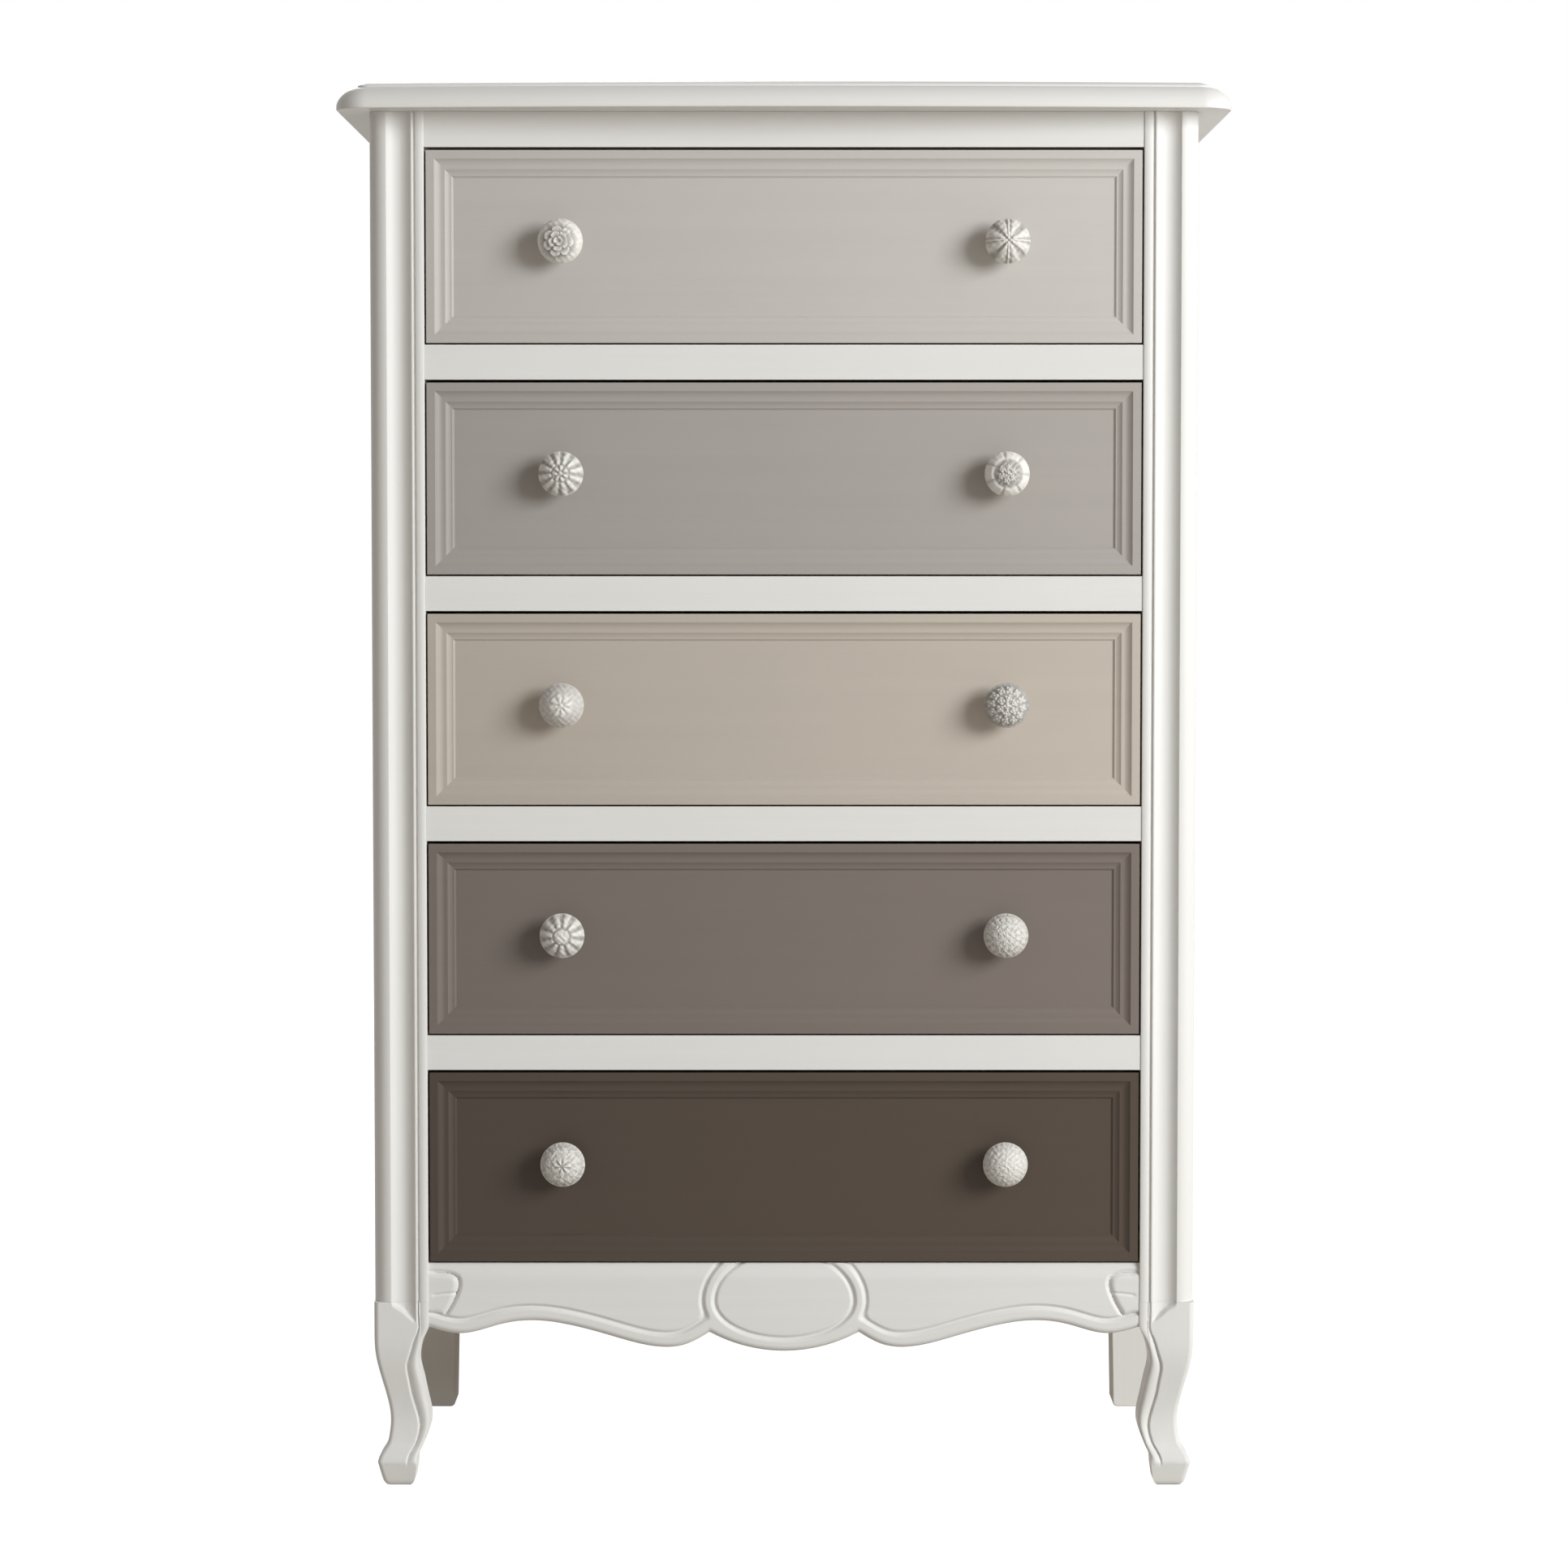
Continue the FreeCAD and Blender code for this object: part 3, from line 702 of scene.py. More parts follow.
# The groove beside the roll: (height, distance from the inner edge) as the same shares
leg_groove_shares = [
    (0.0, 0.16), (0.17, 0.165), (0.25, 0.155), (0.32, 0.18), (0.40, 0.215), (0.50, 0.237),
    (0.58, 0.228), (0.65, 0.205), (0.72, 0.155), (0.80, 0.155), (0.88, 0.172), (0.94, 0.182),
    (1.0, 0.182),
]

# The line where the post's hollow runs out on the knee: (inwards, height) as the same shares
knee_line_shares = [(0.0, 1.0), (0.31, 1.0), (0.34, 0.98), (0.52, 0.95), (0.74, 0.893), (0.82, 0.87)]


def leg_face(across, up, inner, post, leg):
    """How deep the carving lies on one face of the leg, across and up in metres."""
    half = post.cove_width / 2
    bowl = arc_radius(half, post.cove_depth)
    off = abs(across - post.outer_round - half)
    cove = post.cove_depth - bowl + np.sqrt(bowl ** 2 - np.minimum(off, half) ** 2)
    cove = np.where(off < half, cove, 0)
    line_x, line_z = np.array(knee_line_shares).T
    line = np.interp(across / POST_WIDTH, line_x, line_z) * LEG_TOP
    hollow = cove * rise(up, line - 0.4 * MM, line + 2.6 * MM)
    above = up / LEG_TOP
    from_edge = inner - across
    groove_at = smooth_line(leg_groove_shares)(above) * POST_WIDTH
    narrow = rise(above, 0.87, 0.76)
    fade = rise(above, 0.10, 0.17)
    deep = (post.quirk_depth + (leg.groove_depth - post.quirk_depth) * narrow) * fade
    off = from_edge - groove_at
    crest = groove_at * 0.36 * narrow + (groove_at - post.quirk_width / 2) * (1 - narrow)
    flank = np.clip((from_edge - crest) / (groove_at - crest), 0, 1) ** 2
    wall = rise(off, leg.wall_width, 0)
    groove = deep * np.where(off > 0, wall, flank)
    inside = np.clip(from_edge / crest, 0, 1)
    roll = leg.roll_drop * narrow * fade * (1 - inside) ** 2
    bead = post.bead_drop * (1 - narrow) * np.where(inside < 1, (2 * inside - 1) ** 2, 0)
    return np.maximum(hollow, groove) + roll + bead


def leg_section(share, up, post, leg):
    """Places in plan of the leg's outline: the share goes round it once, from the inner edge."""
    # The front and outer faces take most of the points
    front_end, side_end, back_end = 0.42, 0.84, 0.92
    above = up / LEG_TOP
    sole = smooth_line(leg_sole_shares)(above)
    outer = smooth_line(leg_outer_shares)(above)
    outer = np.where(above < leg_sole_shares[-1][0], sole, outer) * POST_WIDTH
    outer = np.where(above > outer_straight_from, 0, np.maximum(outer, 0))
    inner = smooth_line(leg_inner_shares)(above) * POST_WIDTH
    inner = np.where(above > inner_straight_from, POST_WIDTH, np.minimum(inner, POST_WIDTH))
    size = inner - outer
    corner = leg.ankle_round + (leg.knee_round - leg.ankle_round) * rise(above, 0.45, 0.85)
    away = abs(1 - share / front_end)
    along = away * size
    turn = np.pi / 4 * (1 + np.clip(along / corner, 0, 1))
    a = np.where(along < corner, corner * (1 - np.cos(turn)), along)
    b = np.where(along < corner, corner * (1 - np.sin(turn)), 0)
    b = b + leg_face(outer + a, up, inner, post, leg) * rise(along, 0.3 * corner, corner)
    edge_drop = leg_face(inner, up, inner, post, leg)
    span_in = size - edge_drop
    on_back = edge_drop + span_in * (share - side_end) / (back_end - side_end)
    on_inner = size - span_in * (share - back_end) / (1 - back_end)
    parts = [share <= front_end, share <= side_end, share <= back_end]
    x = np.select(parts, [a, b, on_back], size)
    y = np.select(parts, [b, a, size], on_inner)
    return outer + x, outer + y


class MakeFrontLegs(bpy.types.Operator):
    """Makes the two curved front legs with the roll along their inner edge"""
    bl_idname = "chest.front_legs"
    bl_label = "Front legs"

    def execute(self, context):
        post, leg = context.scene.chest_post, context.scene.chest_leg
        left = started(
            "front_leg_left_carved", bpy.ops.mesh.primitive_grid_add,
            x_subdivisions=200, y_subdivisions=130, size=1)
        sheet = places_of(left)
        share = np.round(sheet[:, 0] + 0.5, 6)
        up = (sheet[:, 1] + 0.5) * LEG_TOP
        across, back = leg_section(share, up, post, leg)
        moved(left, np.stack([across - CASE_SIDE, back + CASE_FRONT, up], axis=1))
        with editing(left, "EDGE", "SELECT"):
            bpy.ops.mesh.remove_doubles(threshold=0.02 * MM)
            bpy.ops.mesh.select_all(action="DESELECT")
            bpy.ops.mesh.select_non_manifold()
            bpy.ops.mesh.edge_face_add()
            face_out()
        hand_over_pair(left, white("Z"), smooth=math.radians(50))
        return {"FINISHED"}


# Rails, rear posts, panels and the wood inside

def rear_post(sizes):
    """The left rear post: its leg narrows on the inner side, and its toe is rounded."""
    low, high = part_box("rear_post_left")
    post = block("rear_post_left_shaped", low, high)
    with editing(post, "EDGE", "SELECT"):
        bpy.ops.mesh.bisect(plane_co=(0, 0, sizes.rear_height), plane_no=(0, 0, 1))
        toe = Vector((high.x, (low.y + high.y) / 2, 0))
        pick(post, "edges", lambda edge: (middle(edge) - toe).length < MM)
        bpy.ops.transform.translate(value=(-sizes.rear_taper, 0, 0))
        bpy.ops.mesh.bevel(offset=sizes.toe_round, segments=7, profile=0.5)
    ease(post, 1.5 * MM, 4)
    back_low, back_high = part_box("back_panel")
    rabbet = block("rabbet", back_low, back_high + Vector((0, MM, MM)))
    with_modifier(post, "BOOLEAN", object=rabbet, operation="DIFFERENCE")
    bpy.data.objects.remove(rabbet)
    return post


class DressCase(bpy.types.Operator):
    """Eases and paints the rails, rear posts, side panels and back, and finishes the wood inside"""
    bl_idname = "chest.case"
    bl_label = "Case"

    def execute(self, context):
        finish = context.scene.chest_finish
        for number in range(1, len(DRAWERS)):
            eased_copy(f"drawer_rail_{number}", "white_paint", white("X"), 0.4)
        eased_copy("frieze_rail", "white_paint", white("X"), 0.4)
        for side in SIDES:
            eased_copy("side_panel_" + side, "white_paint", white("Z"), 0.6)
        matt = shared("white_paint_matt", paint, finish.white, "Z", 0.0)
        hand_over_pair(rear_post(context.scene.chest_leg), matt)
        ply = shared("back_ply", wood, finish.pale_wood, finish.dark_wood, "Z", 12.0)
        eased_copy("back_panel", "back_ply", ply, 0.4)
        level = shared("case_wood", wood, finish.pale_wood, finish.dark_wood, "Y")
        for node in ("runners_left", "runners_right", "drawer_stops", "rear_rails"):
            eased_copy(node, "case_wood", level, 0.5)
        return {"FINISHED"}


# Apron

# Lower edge of the apron: (across, up) as shares of half the opening and of the apron's drop
apron_cusp_shares = (0.21, 0.215)
apron_scallop_shares = [
    apron_cusp_shares, (0.27, 0.085), (0.345, 0.045), (0.49, 0.175), (0.605, 0.295),
    (0.70, 0.345), (0.80, 0.300), (0.906, 0.200), (1.0, 0.275),
]


def apron_edge(across):
    """Height of the apron's lower edge at a place across."""
    drop = BASE_TOP - APRON_FOOT
    share = abs(across) / OPENING_HALF
    cusp_x = apron_cusp_shares[0] * OPENING_HALF
    cusp_z = apron_cusp_shares[1] * drop
    radius = arc_radius(cusp_x, cusp_z)
    inside = np.clip(abs(across), 0, cusp_x)
    lobe = radius - np.sqrt(radius ** 2 - inside ** 2)
    scallop = smooth_line(apron_scallop_shares)(share) * drop
    return APRON_FOOT + np.where(share < apron_cusp_shares[0], lobe, scallop)


def edge_distance(across, up):
    """Distance of each place from the apron's lower edge."""
    line = np.linspace(-OPENING_HALF, OPENING_HALF, 2401)
    heights = apron_edge(line)
    tree = kdtree.KDTree(len(line))
    for number, (x, z) in enumerate(zip(line, heights)):
        tree.insert((x, 0, z), number)
    tree.balance()
    return np.array([tree.find((x, 0, z))[2] for x, z in zip(across, up)])


def oval_distance(across, up, half_width, half_height):
    """Distance outwards from an oval round the origin, exact enough near its line."""
    share = np.sqrt((across / half_width) ** 2 + (up / half_height) ** 2)
    slope = np.sqrt((across / half_width ** 2) ** 2 + (up / half_height ** 2) ** 2)
    return share * (share - 1) / np.maximum(slope, 1e-6)


def carved_line(distance, sizes):
    """Depth of a carved line with a rounded bottom, by the distance from its middle."""
    return sizes.line_depth * rise(abs(distance), sizes.line_reach, 0)


def shell_carving(across, up, border, sizes):
    """Depth of the shell at each end of the apron, and how far inside it each place lies."""
    x = OPENING_HALF - abs(across)
    down = BASE_TOP - up
    fall = np.clip((down - sizes.shell_widest) / (sizes.shell_foot - sizes.shell_widest), 0, 1.3)
    width = sizes.shell_width * (1 - 0.28 * fall ** 1.6)
    height = sizes.shell_widest - sizes.shell_top
    along = abs(x) / width + 0.001
    above = np.clip((sizes.shell_widest - down) / height, 0, None)
    share = (along ** 3 + above ** 3) ** (1 / 3)
    slope = np.hypot(along ** 2 / width, above ** 2 / height) / share ** 2
    inside = np.clip((1 - share) / slope, -12 * MM, 12 * MM)
    inside = np.minimum(inside, -border)
    from_line = down - sizes.shell_middle - 3 * MM * np.clip(1 - x / width, 0, 1) ** 2
    lobes = 0.5 * carved_line(1.6 * from_line, sizes) * rise(x, 2 * MM, 6 * MM)
    swell = sizes.shell_swell * rise(inside, 6 * MM, 0) * rise(x, 1 * MM, 9 * MM)
    return swell + lobes, inside


def apron_depth(across, up, sizes):
    """Depth of the carved face of the apron behind its front."""
    from_edge = edge_distance(across, up)
    above = up - BASE_TOP + sizes.oval_below
    reach = np.where(above > 0, sizes.oval_rise, sizes.oval_drop)
    border = sizes.border_width - from_edge
    outer = -oval_distance(
        across, above, sizes.oval_half_width + sizes.ring_width, reach + sizes.ring_width)
    inner = oval_distance(across, above, sizes.oval_half_width, reach)
    shell, in_shell = shell_carving(across, up, border, sizes)
    raised = soft_max(border, outer, 7 * MM)
    lines = np.maximum(carved_line(raised, sizes), carved_line(inner, sizes))
    shell_line = 0.8 * carved_line(in_shell, sizes)
    lines = np.where(in_shell > 0, shell_line, np.maximum(lines, shell_line))
    raised = np.maximum(raised, in_shell)
    field = sizes.field_depth * rise(np.minimum(raised, inner), 2 * MM, -2 * MM)
    head = sizes.head_depth * np.clip(1 - (BASE_TOP - up) / sizes.head_height, 0, 1) ** 2
    depth = lines + field + head + shell * (in_shell > 0)
    radius = sizes.edge_round
    near = np.clip(radius - from_edge, 0, radius)
    roll = radius - np.sqrt(radius ** 2 - near ** 2)
    return depth + roll


class MakeApron(bpy.types.Operator):
    """Makes the scalloped apron with its carved border, oval and shells"""
    bl_idname = "chest.apron"
    bl_label = "Apron"

    def execute(self, context):
        sizes = context.scene.chest_apron
        front, back = span("apron", 1)
        board = started(
            "apron_carved", bpy.ops.mesh.primitive_grid_add,
            x_subdivisions=680, y_subdivisions=90, size=1)
        sheet = places_of(board)
        across = sheet[:, 0] * 2 * OPENING_HALF
        foot = apron_edge(across)
        up = foot + (sheet[:, 1] + 0.5) * (BASE_TOP - foot)
        depth = apron_depth(across, up, sizes)
        moved(board, np.stack([across, front + depth, up], axis=1))
        with editing(board, "EDGE"):
            bpy.ops.mesh.select_non_manifold()
            bpy.ops.mesh.extrude_region_move(TRANSFORM_OT_translate={"value": (0, back - front, 0)})
            for vert in bmesh.from_edit_mesh(board.data).verts:
                if vert.select:
                    vert.co.y = back
            bpy.ops.mesh.edge_face_add()
            face_out()
        hand_over(board, "white_paint", white("X"), "apron", smooth=math.radians(50))
        return {"FINISHED"}


# Drawers

def turned(radius, start, end, count):
    """Insets along an arc whose slope goes from one angle to another: (width, depth) of each."""
    turns = np.linspace(start, end, count + 1)
    sign = 1 if end > start else -1
    return [
        (sign * radius * (math.sin(b) - math.sin(a)), sign * radius * (math.cos(a) - math.cos(b)))
        for a, b in zip(turns, turns[1:])
    ]


def hollow_steps(width, depth, worn, rest=0.0):
    """Insets over a worn edge and down a hollow that starts steep and ends at a resting slope."""
    full = 2 * math.atan(depth / width) - rest
    edge = turned(worn, 0, full, 3)
    radius = (width - worn * math.sin(full)) / (math.sin(full) - math.sin(rest))
    return edge + turned(radius, full, rest, 7)


def moulded_front(name, low, high, sizes):
    """A drawer front with its stepped frame, inset step by step."""
    front = block(name, low, high)
    ease(front, sizes.edge_round, 4)
    slope = math.atan2(sizes.step_depth, sizes.step_width)
    last_edge = turned(sizes.worn_round / 2, 0, slope, 3)
    worn_width, worn_depth = [sum(parts) for parts in zip(*last_edge)]
    steps = (
        (sizes.outer_flat - sizes.edge_round, 0),
        *hollow_steps(sizes.first_cove, sizes.first_depth, sizes.worn_round),
        (sizes.middle_flat, 0),
        *hollow_steps(sizes.second_cove, sizes.second_depth, sizes.worn_round, math.radians(12)),
        (sizes.inner_flat, 0),
        *last_edge,
        (sizes.step_width - worn_width, sizes.step_depth - worn_depth),
    )
    with editing(front):
        pick(front, "faces", lambda face: face.normal.y < -0.99)
        for width, depth in steps:
            bpy.ops.mesh.inset(thickness=width, depth=-depth)
    return front


class MakeDrawerFronts(bpy.types.Operator):
    """Makes the five moulded drawer fronts, each in its own paint"""
    bl_idname = "chest.drawer_fronts"
    bl_label = "Drawer fronts"

    def execute(self, context):
        finish = context.scene.chest_finish
        for number in DRAWERS:
            name = f"drawer_{number}"
            low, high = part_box(name + "_front")
            front = moulded_front(name + "_front_moulded", low, high, context.scene.chest_front)
            # Each drawer's paint carries painted light from the drift, paler towards the right
            coat = shared(name + "_paint", paint, getattr(finish, name), "X", 0.2, finish.drift)
            # The mitres of the frame stay sharp
            hand_over(front, name + "_paint", coat, name + "_front", smooth=math.radians(9))
        return {"FINISHED"}


class DressDrawerBoxes(bpy.types.Operator):
    """Eases the boards of the drawer boxes and gives them their wood"""
    bl_idname = "chest.drawer_boxes"
    bl_label = "Drawer boxes"

    def execute(self, context):
        finish = context.scene.chest_finish
        shades = finish.pale_wood, finish.dark_wood
        lengthwise = shared("drawer_wood_y", wood, *shades, "Y")
        crosswise = shared("drawer_wood_x", wood, *shades, "X")
        ply = shared("drawer_ply", wood, *shades, "X", 12.0)
        steel = shared("screw_steel", metal, finish.steel)
        for number in DRAWERS:
            name = f"drawer_{number}_"
            for side in SIDES:
                eased_copy(name + "side_" + side, "drawer_wood", lengthwise, 1.2, 3)
            eased_copy(name + "back", "drawer_wood", crosswise, 1.2, 3)
            eased_copy(name + "bottom", "drawer_ply", ply, 0.3)
            for slot in frame["nodes"][name + "knob_screws"].material_slots:
                slot.material = steel
        return {"FINISHED"}


# Knobs

# A carving takes places on the knob as complex numbers, x + zj in shares of its radius, and gives
# heights from 0 in the deepest cut to 1 on the dome

def dome(distance, radius):
    return np.sqrt(np.clip(1 - (distance / radius) ** 2, 0, 1))


def petals(at, count, start, end, turn=0.0, cleft=0.6):
    """A ring of round-ended petals between two shares of the radius."""
    out = abs(at)
    wave = abs(np.cos((np.angle(at) - turn) * count / 2))
    ridge = rise(wave, cleft * 0.4, cleft + 0.35)
    tip = end * (0.86 + 0.14 * wave)
    reach = rise(out, start, start + 0.06) * rise(out, tip, tip - 0.12)
    rib = 0.12 * np.exp(-(np.arccos(np.clip(wave, -1, 1)) / 0.16) ** 2)
    return np.clip(ridge * reach * (0.88 + rib), 0, 1)


def posies(at, size, reach, count=5):
    """Small blossoms in rings round the middle, out to a share of the radius."""
    height = np.zeros(len(at))
    ring = 0
    while ring * size * 1.9 <= reach:
        out = ring * size * 1.9
        number = max(1, round(2 * math.pi * out / (size * 1.95)))
        for step in range(number):
            angle = 2 * math.pi * (step + 0.37 * ring) / number
            near = at - out * np.exp(1j * angle)
            away = abs(near)
            lobes = size * (0.86 + 0.2 * np.cos(count * (np.angle(near) + ring + step)))
            bloom = 0.85 * dome(away, lobes) ** 0.8 - 0.5 * np.exp(-((away / size - 0.38) / 0.11) ** 2)
            bud = 0.75 * dome(away, size * 0.28)
            height = np.maximum(height, np.maximum(bloom, bud))
        ring += 1
    return height


def chipped(height, at, amount=0.3):
    """A carving with the chisel's small marks on it."""
    x, z = at.real, at.imag
    marks = 0.5 + 0.25 * np.sin(21 * x + 3 * np.sin(8 * z)) + 0.25 * np.sin(23 * z + 3 * np.sin(9 * x))
    return (1 - amount) * height + amount * marks


def rose(at):
    """Rings of lapped petals round a bud."""
    off_centre = at + 0.06 + 0.04j
    out = abs(off_centre)
    height = np.full(len(at), 0.9)
    for count, inner, outer in ((9, 0.66, 0.98), (7, 0.42, 0.7), (5, 0.2, 0.46), (3, 0.0, 0.22)):
        lap = (np.angle(off_centre) * count / (2 * math.pi) + 0.37 * count) % 1
        lip = outer * (0.84 + 0.16 * np.sin(math.pi * lap))
        petal = rise(out, inner + 0.02, lip)
        seam = 1 - 0.6 * np.exp(-(np.minimum(lap, 1 - lap) / 0.09) ** 2)
        height = np.where(out < lip, petal * seam, height)
    return chipped(height, at, 0.2)


def crossed_petals(at):
    """Eight petals with slim bars up, down and across between them."""
    bars = np.exp(-(np.minimum(abs(at.real), abs(at.imag)) / 0.06) ** 2) * rise(abs(at), 0.0, 0.1)
    return chipped(np.maximum(bars, petals(at, 8, 0.15, 1.15, math.radians(22.5))), at)


def daisy(at):
    flower = np.maximum(petals(at, 12, 0.42, 1.15, 0.2), petals(at, 7, 0.13, 0.44, 0.5))
    return chipped(np.maximum(flower, 0.8 * dome(abs(at), 0.12)), at)


def posy_in_leaves(at):
    share = rise(abs(at), 0.62, 0.74)
    leaves = 0.5 + 0.5 * petals(at, 7, 0.62, 1.2, 0.4, 0.1)
    return chipped(posies(at, 0.17, 0.62) * (1 - share) + leaves * share, at, 0.35 - 0.25 * share)


def faint_bloom(at):
    bloom = np.maximum(petals(at, 8, 0.14, 0.6, 0.2), 0.9 * dome(abs(at), 0.12))
    return chipped(0.45 + 0.55 * bloom, at, 0.25)


def disc_and_petals(at):
    disc = rise(abs(at), 0.38, 0.32) * (0.7 + 0.3 * posies(at, 0.09, 0.27))
    return chipped(np.maximum(petals(at, 11, 0.42, 1.15, 0.15), disc), at)


def garland(at):
    share = rise(abs(at), 0.3, 0.5)
    field = 0.4 + 0.6 * posies(at, 0.19, 1.1)
    return chipped(petals(at, 7, 0.06, 0.5, 0.2) * (1 - share) + field * share, at)


def strewn(size, ground, count, marks):
    """A carving of small blossoms all over, on a ground of some height."""
    return lambda at: chipped(ground + (1 - ground) * posies(at, size, 1.1, count), at, marks)


# Carving of the left and right knob of each drawer, from the top, and its share of the full depth
KNOB_CARVINGS = [
    ((rose, 1.0), (crossed_petals, 1.0)),
    ((daisy, 1.0), (posy_in_leaves, 1.0)),
    ((faint_bloom, 0.8), (strewn(0.2, 0, 4, 0.2), 1.0)),
    ((disc_and_petals, 1.0), (strewn(0.15, 0.35, 5, 0.3), 0.8)),
    ((garland, 0.8), (strewn(0.12, 0.55, 3, 0.25), 0.8)),
]


def knob_dome(sizes):
    """Where the dome starts, forward of the face, and the radius of its ball."""
    rim = sizes.neck_length + (sizes.reach - sizes.neck_length) * 0.27
    return rim, arc_radius(sizes.radius, sizes.reach - rim)


def knob_profile(sizes):
    """Outline of a knob from the foot's rim to the tip: (out from the axis, forward of the face)."""
    foot_radius, foot, neck = sizes.foot_radius, sizes.foot_length, sizes.neck_length
    profile = [(0.0, 0.0)] + [
        (foot_radius * out, foot * forward)
        for out, forward in ((0.96, 0.0), (1.0, 0.15), (1.0, 0.6), (0.93, 1.0))
    ]
    start, under = foot_radius * 0.86, sizes.radius * 0.70
    for share in np.linspace(0.1, 1.0, 9):
        wide = start + (under - start) * share
        waist = (wide - sizes.neck_radius) * 3.6 * share * (1 - share)
        profile.append((wide - waist, foot + share * (neck - foot)))
    profile += [
        (sizes.radius * out, neck + (sizes.reach - neck) * forward)
        for out, forward in ((0.82, 0.02), (0.91, 0.06), (0.97, 0.13), (0.995, 0.20))
    ]
    rim, ball = knob_dome(sizes)
    full = math.acos(1 - (sizes.reach - rim) / ball)
    return profile + [
        (ball * math.sin(turn), sizes.reach - ball * (1 - math.cos(turn)))
        for turn in np.linspace(full, 0, 46)
    ]


def plain_knob(sizes):
    """A turned knob on the Y axis, with its foot at the origin."""
    profile = [(out, -forward, 0) for out, forward in knob_profile(sizes)]
    knob = drawn("knob_blank", profile, filled=False)
    with editing(knob, "VERT", "SELECT"):
        bpy.ops.mesh.spin(
            steps=sizes.turns, angle=2 * math.pi, center=(0, 0, 0), axis=(0, 1, 0),
            use_auto_merge=False)
        bpy.ops.mesh.select_all(action="SELECT")
        bpy.ops.mesh.remove_doubles(threshold=0.01 * MM)
        face_out()
    return knob


def carve(knob, carving, share, sizes):
    """Cuts a carving into the dome and keeps its height as an attribute of the mesh."""
    places = places_of(knob)
    rim, ball = knob_dome(sizes)
    centre = np.array((0, -(sizes.reach - ball), 0))
    on_dome = -places[:, 1] > rim - 0.05 * MM
    at = (places[:, 0] + 1j * places[:, 2]) / sizes.radius
    height = np.where(on_dome, np.clip(carving(at), 0, 1), 1)
    edge = rise(-places[:, 1], rim, rim + 1.2 * MM)
    depth = sizes.relief * share * (1 - height) * edge
    outwards = places - centre
    outwards /= np.linalg.norm(outwards, axis=1)[:, None]
    moved(knob, places - outwards * depth[:, None])
    # The height kept here is the mask for the painted shade in the hollows of the knobs' paint
    relief = knob.data.attributes.new("relief", "FLOAT", "POINT")
    relief.data.foreach_set("value", np.where(on_dome, height, 0.9))


class MakeKnobs(bpy.types.Operator):
    """Makes the ten carved knobs, each with its own flower"""
    bl_idname = "chest.knobs"
    bl_label = "Knobs"

    def execute(self, context):
        sizes = context.scene.chest_knob
        coat = shared("knob_paint", cast_paint, context.scene.chest_finish.knob)
        blank = plain_knob(sizes)
        for number, pair in zip(DRAWERS, KNOB_CARVINGS):
            for side, (carving, share) in zip(SIDES, pair):
                node = f"drawer_{number}_knob_{side}"
                low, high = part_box(node)
                seat = (low.x + high.x) / 2, high.y, (low.z + high.z) / 2
                knob = copy_of(blank.data, node + "_carved")
                carve(knob, carving, share, sizes)
                moved(knob, places_of(knob) + np.array(seat))
                hand_over(knob, "knob_paint", coat, node, smooth=math.radians(60))
        bpy.data.objects.remove(blank)
        return {"FINISHED"}


# Stage

def backdrop_rays(recipe):
    """1 for the rays of the camera, of gloss and of glass, and 0 for the rays that light the chest."""
    camera, gloss, glass = [
        recipe.add("LightPath", output=f"Is {kind} Ray")
        for kind in ("Camera", "Glossy", "Transmission")
    ]
    return camera.math("MINIMUM", camera + gloss + glass, 1)


def stage_floor(settings):
    """A pale floor that the camera sees as white, with the chest's shadow on it."""
    floor = started("floor", bpy.ops.mesh.primitive_plane_add, size=40, location=(0, 0, 0))
    material = bpy.data.materials.new("floor")
    recipe = Recipe(material)
    pale = recipe.add("BsdfDiffuse", {"Color": settings.floor_tint})
    shaded = recipe.add("BsdfDiffuse", {"Color": settings.shadow_tint})
    glow = recipe.add("Emission", {"Color": (1, 1, 1, 1), "Strength": settings.floor_glow})
    both = recipe.add("AddShader", {0: shaded, 1: glow})
    mixed = recipe.add("MixShader", {0: backdrop_rays(recipe), 1: pale, 2: both})
    recipe.add("OutputMaterial", {"Surface": mixed})
    floor.data.materials.append(material)


def stage_world(settings):
    """Even room light, with a white background for the camera, gloss and glass."""
    world = bpy.data.worlds.new("studio")
    bpy.context.scene.world = world
    recipe = Recipe(world)
    light = recipe.add("Background", {"Color": settings.room_tint, "Strength": settings.room_light})
    backdrop = recipe.add("Background", {"Color": (1, 1, 1, 1), "Strength": 1})
    mixed = recipe.add("MixShader", {0: backdrop_rays(recipe), 1: light, 2: backdrop})
    recipe.add("OutputWorld", {"Surface": mixed})


def stage_lamp(name, place, target, power, size, tint=(1, 1, 1)):
    bpy.ops.object.select_all(action="DESELECT")
    bpy.ops.object.light_add(type="AREA", location=place)
    lamp = bpy.context.object
    lamp.name = name
    lamp.rotation_euler = (Vector(target) - Vector(place)).to_track_quat("-Z", "Y").to_euler()
    lamp.data.energy = power
    lamp.data.size = size
    lamp.data.color = tint


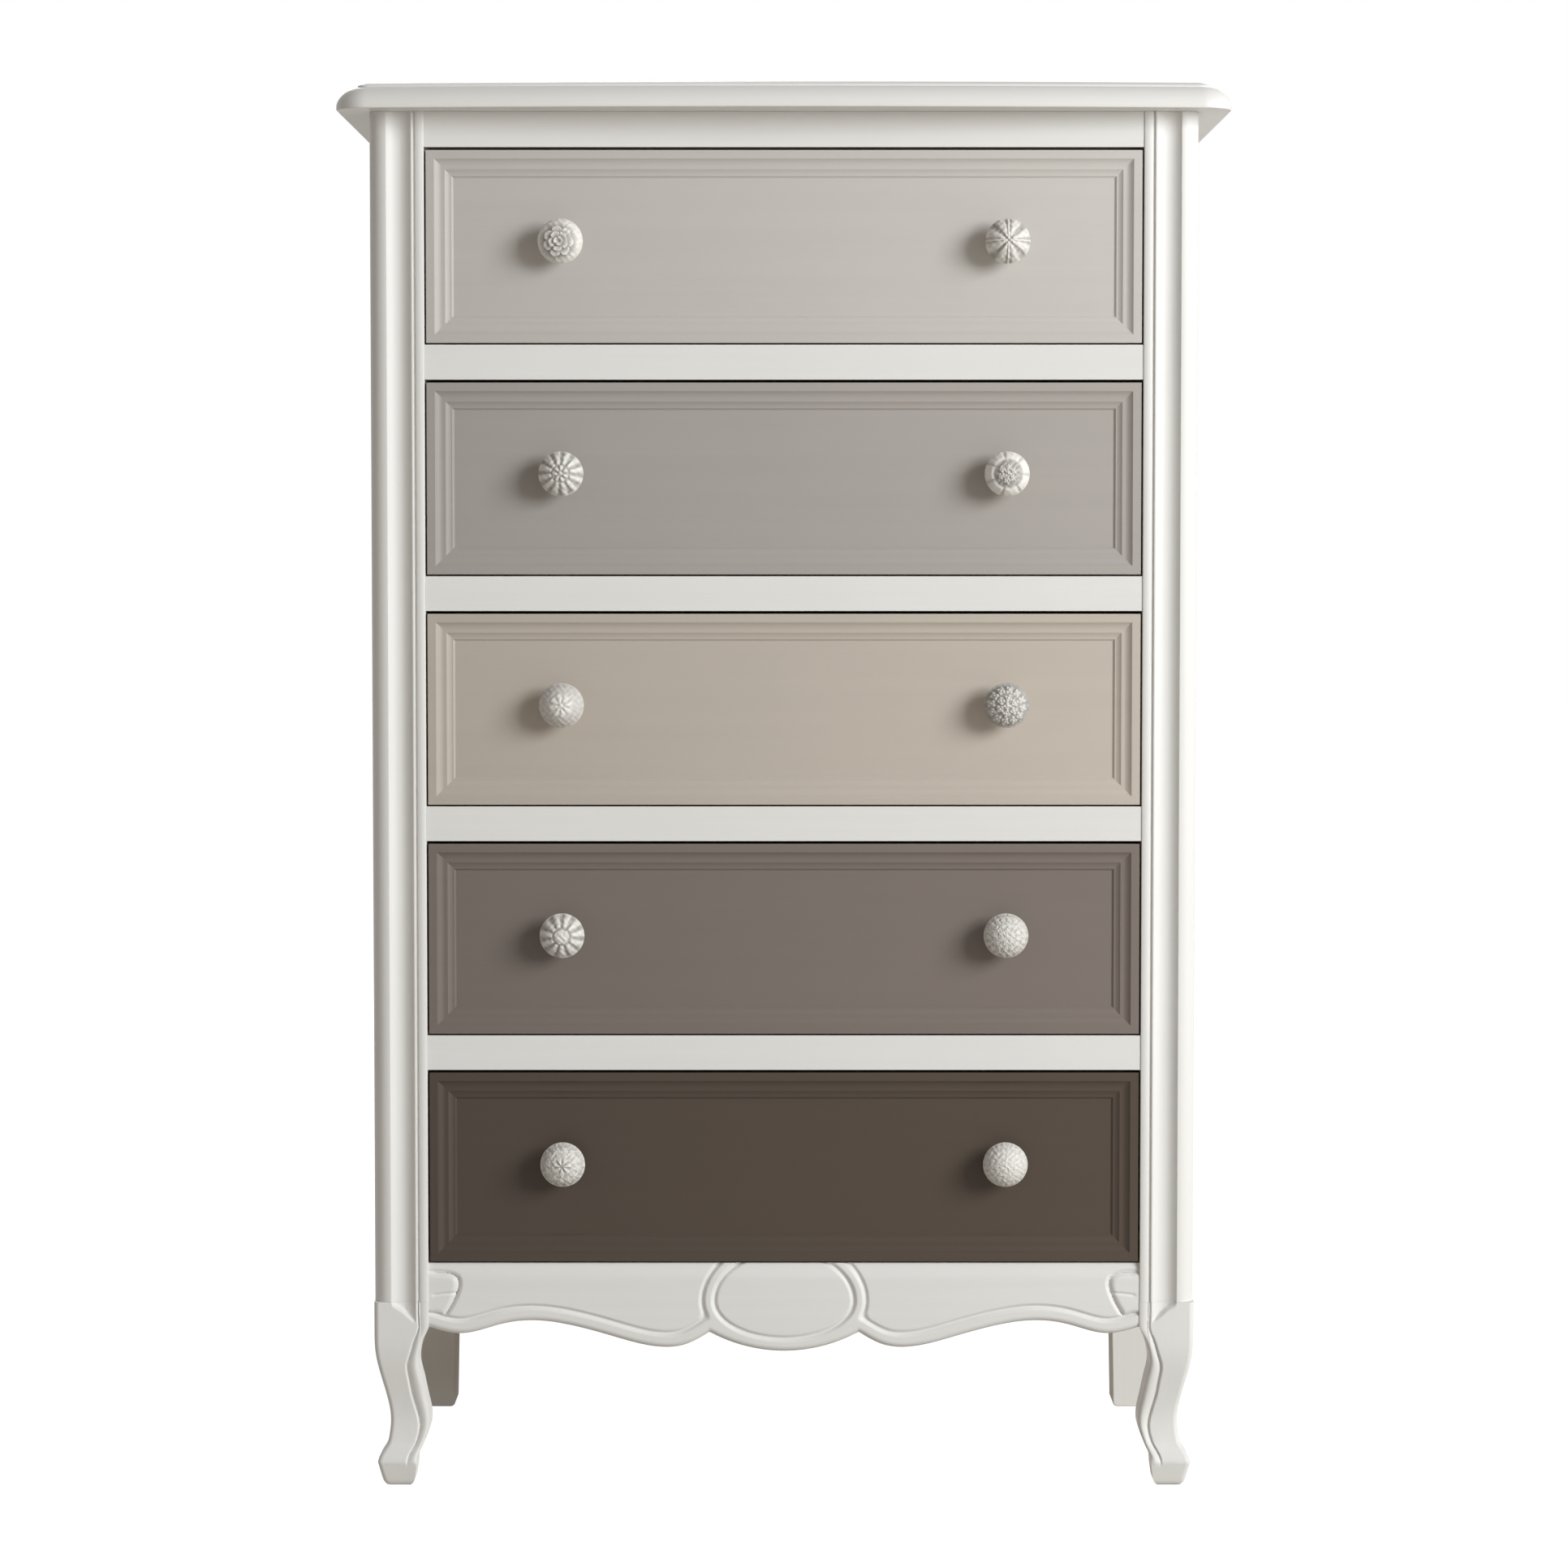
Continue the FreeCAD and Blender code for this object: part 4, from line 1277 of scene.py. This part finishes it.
class MakeStage(bpy.types.Operator):
    """Makes the camera, lamps, floor and background"""
    bl_idname = "chest.stage"
    bl_label = "Stage"

    def execute(self, context):
        settings = context.scene.chest_stage
        bpy.ops.object.select_all(action="DESELECT")
        place = (0, CASE_FRONT - settings.camera_distance, settings.camera_height)
        bpy.ops.object.camera_add(location=place, rotation=(math.pi / 2 - settings.camera_pitch, 0, 0))
        camera = bpy.context.object
        camera.data.lens = settings.camera_lens
        camera.data.sensor_width = 36
        context.scene.camera = camera
        stage_floor(settings)
        stage_world(settings)
        target = (0, CASE_FRONT, 0.7)
        stage_lamp(
            "key", (3.7, -3.28, 2.1), target, settings.key_power, settings.key_size,
            settings.key_tint[:3])
        stage_lamp("fill", (-4.2, -2.6, 1.6), target, settings.fill_power, settings.fill_size)
        stage_lamp("back", (-0.8, 4.0, 2.8), (0, 0, 0.7), settings.back_power, settings.back_size)
        context.scene.view_settings.view_transform = "Standard"
        return {"FINISHED"}


STEPS = (
    MakeStage,
    MakeTopBoard,
    MakeFrontPosts,
    MakeFrontLegs,
    DressCase,
    MakeApron,
    MakeDrawerFronts,
    DressDrawerBoxes,
    MakeKnobs,
)


class ChestPanel(bpy.types.Panel):
    """Lists the pieces of the chest"""
    bl_idname = "VIEW3D_PT_chest"
    bl_label = "Chest of drawers"
    bl_space_type = "VIEW_3D"
    bl_region_type = "UI"
    bl_category = "Chest"

    def draw(self, context):
        for step in STEPS:
            self.layout.operator(step.bl_idname)
        for name, group in GROUPS.items():
            box = self.layout.box()
            for setting in group.__annotations__:
                box.prop(getattr(context.scene, name), setting)


CLASSES = (*GROUPS.values(), *STEPS, ChestPanel)


def register():
    for kind in CLASSES:
        bpy.utils.register_class(kind)
    for name, group in GROUPS.items():
        setattr(bpy.types.Scene, name, PointerProperty(type=group))


def unregister():
    for name in GROUPS:
        delattr(bpy.types.Scene, name)
    for kind in reversed(CLASSES):
        bpy.utils.unregister_class(kind)


def main():
    register()
    for step in STEPS:
        getattr(bpy.ops.chest, step.bl_idname.removeprefix("chest."))()


if __name__ == "__main__":
    main()
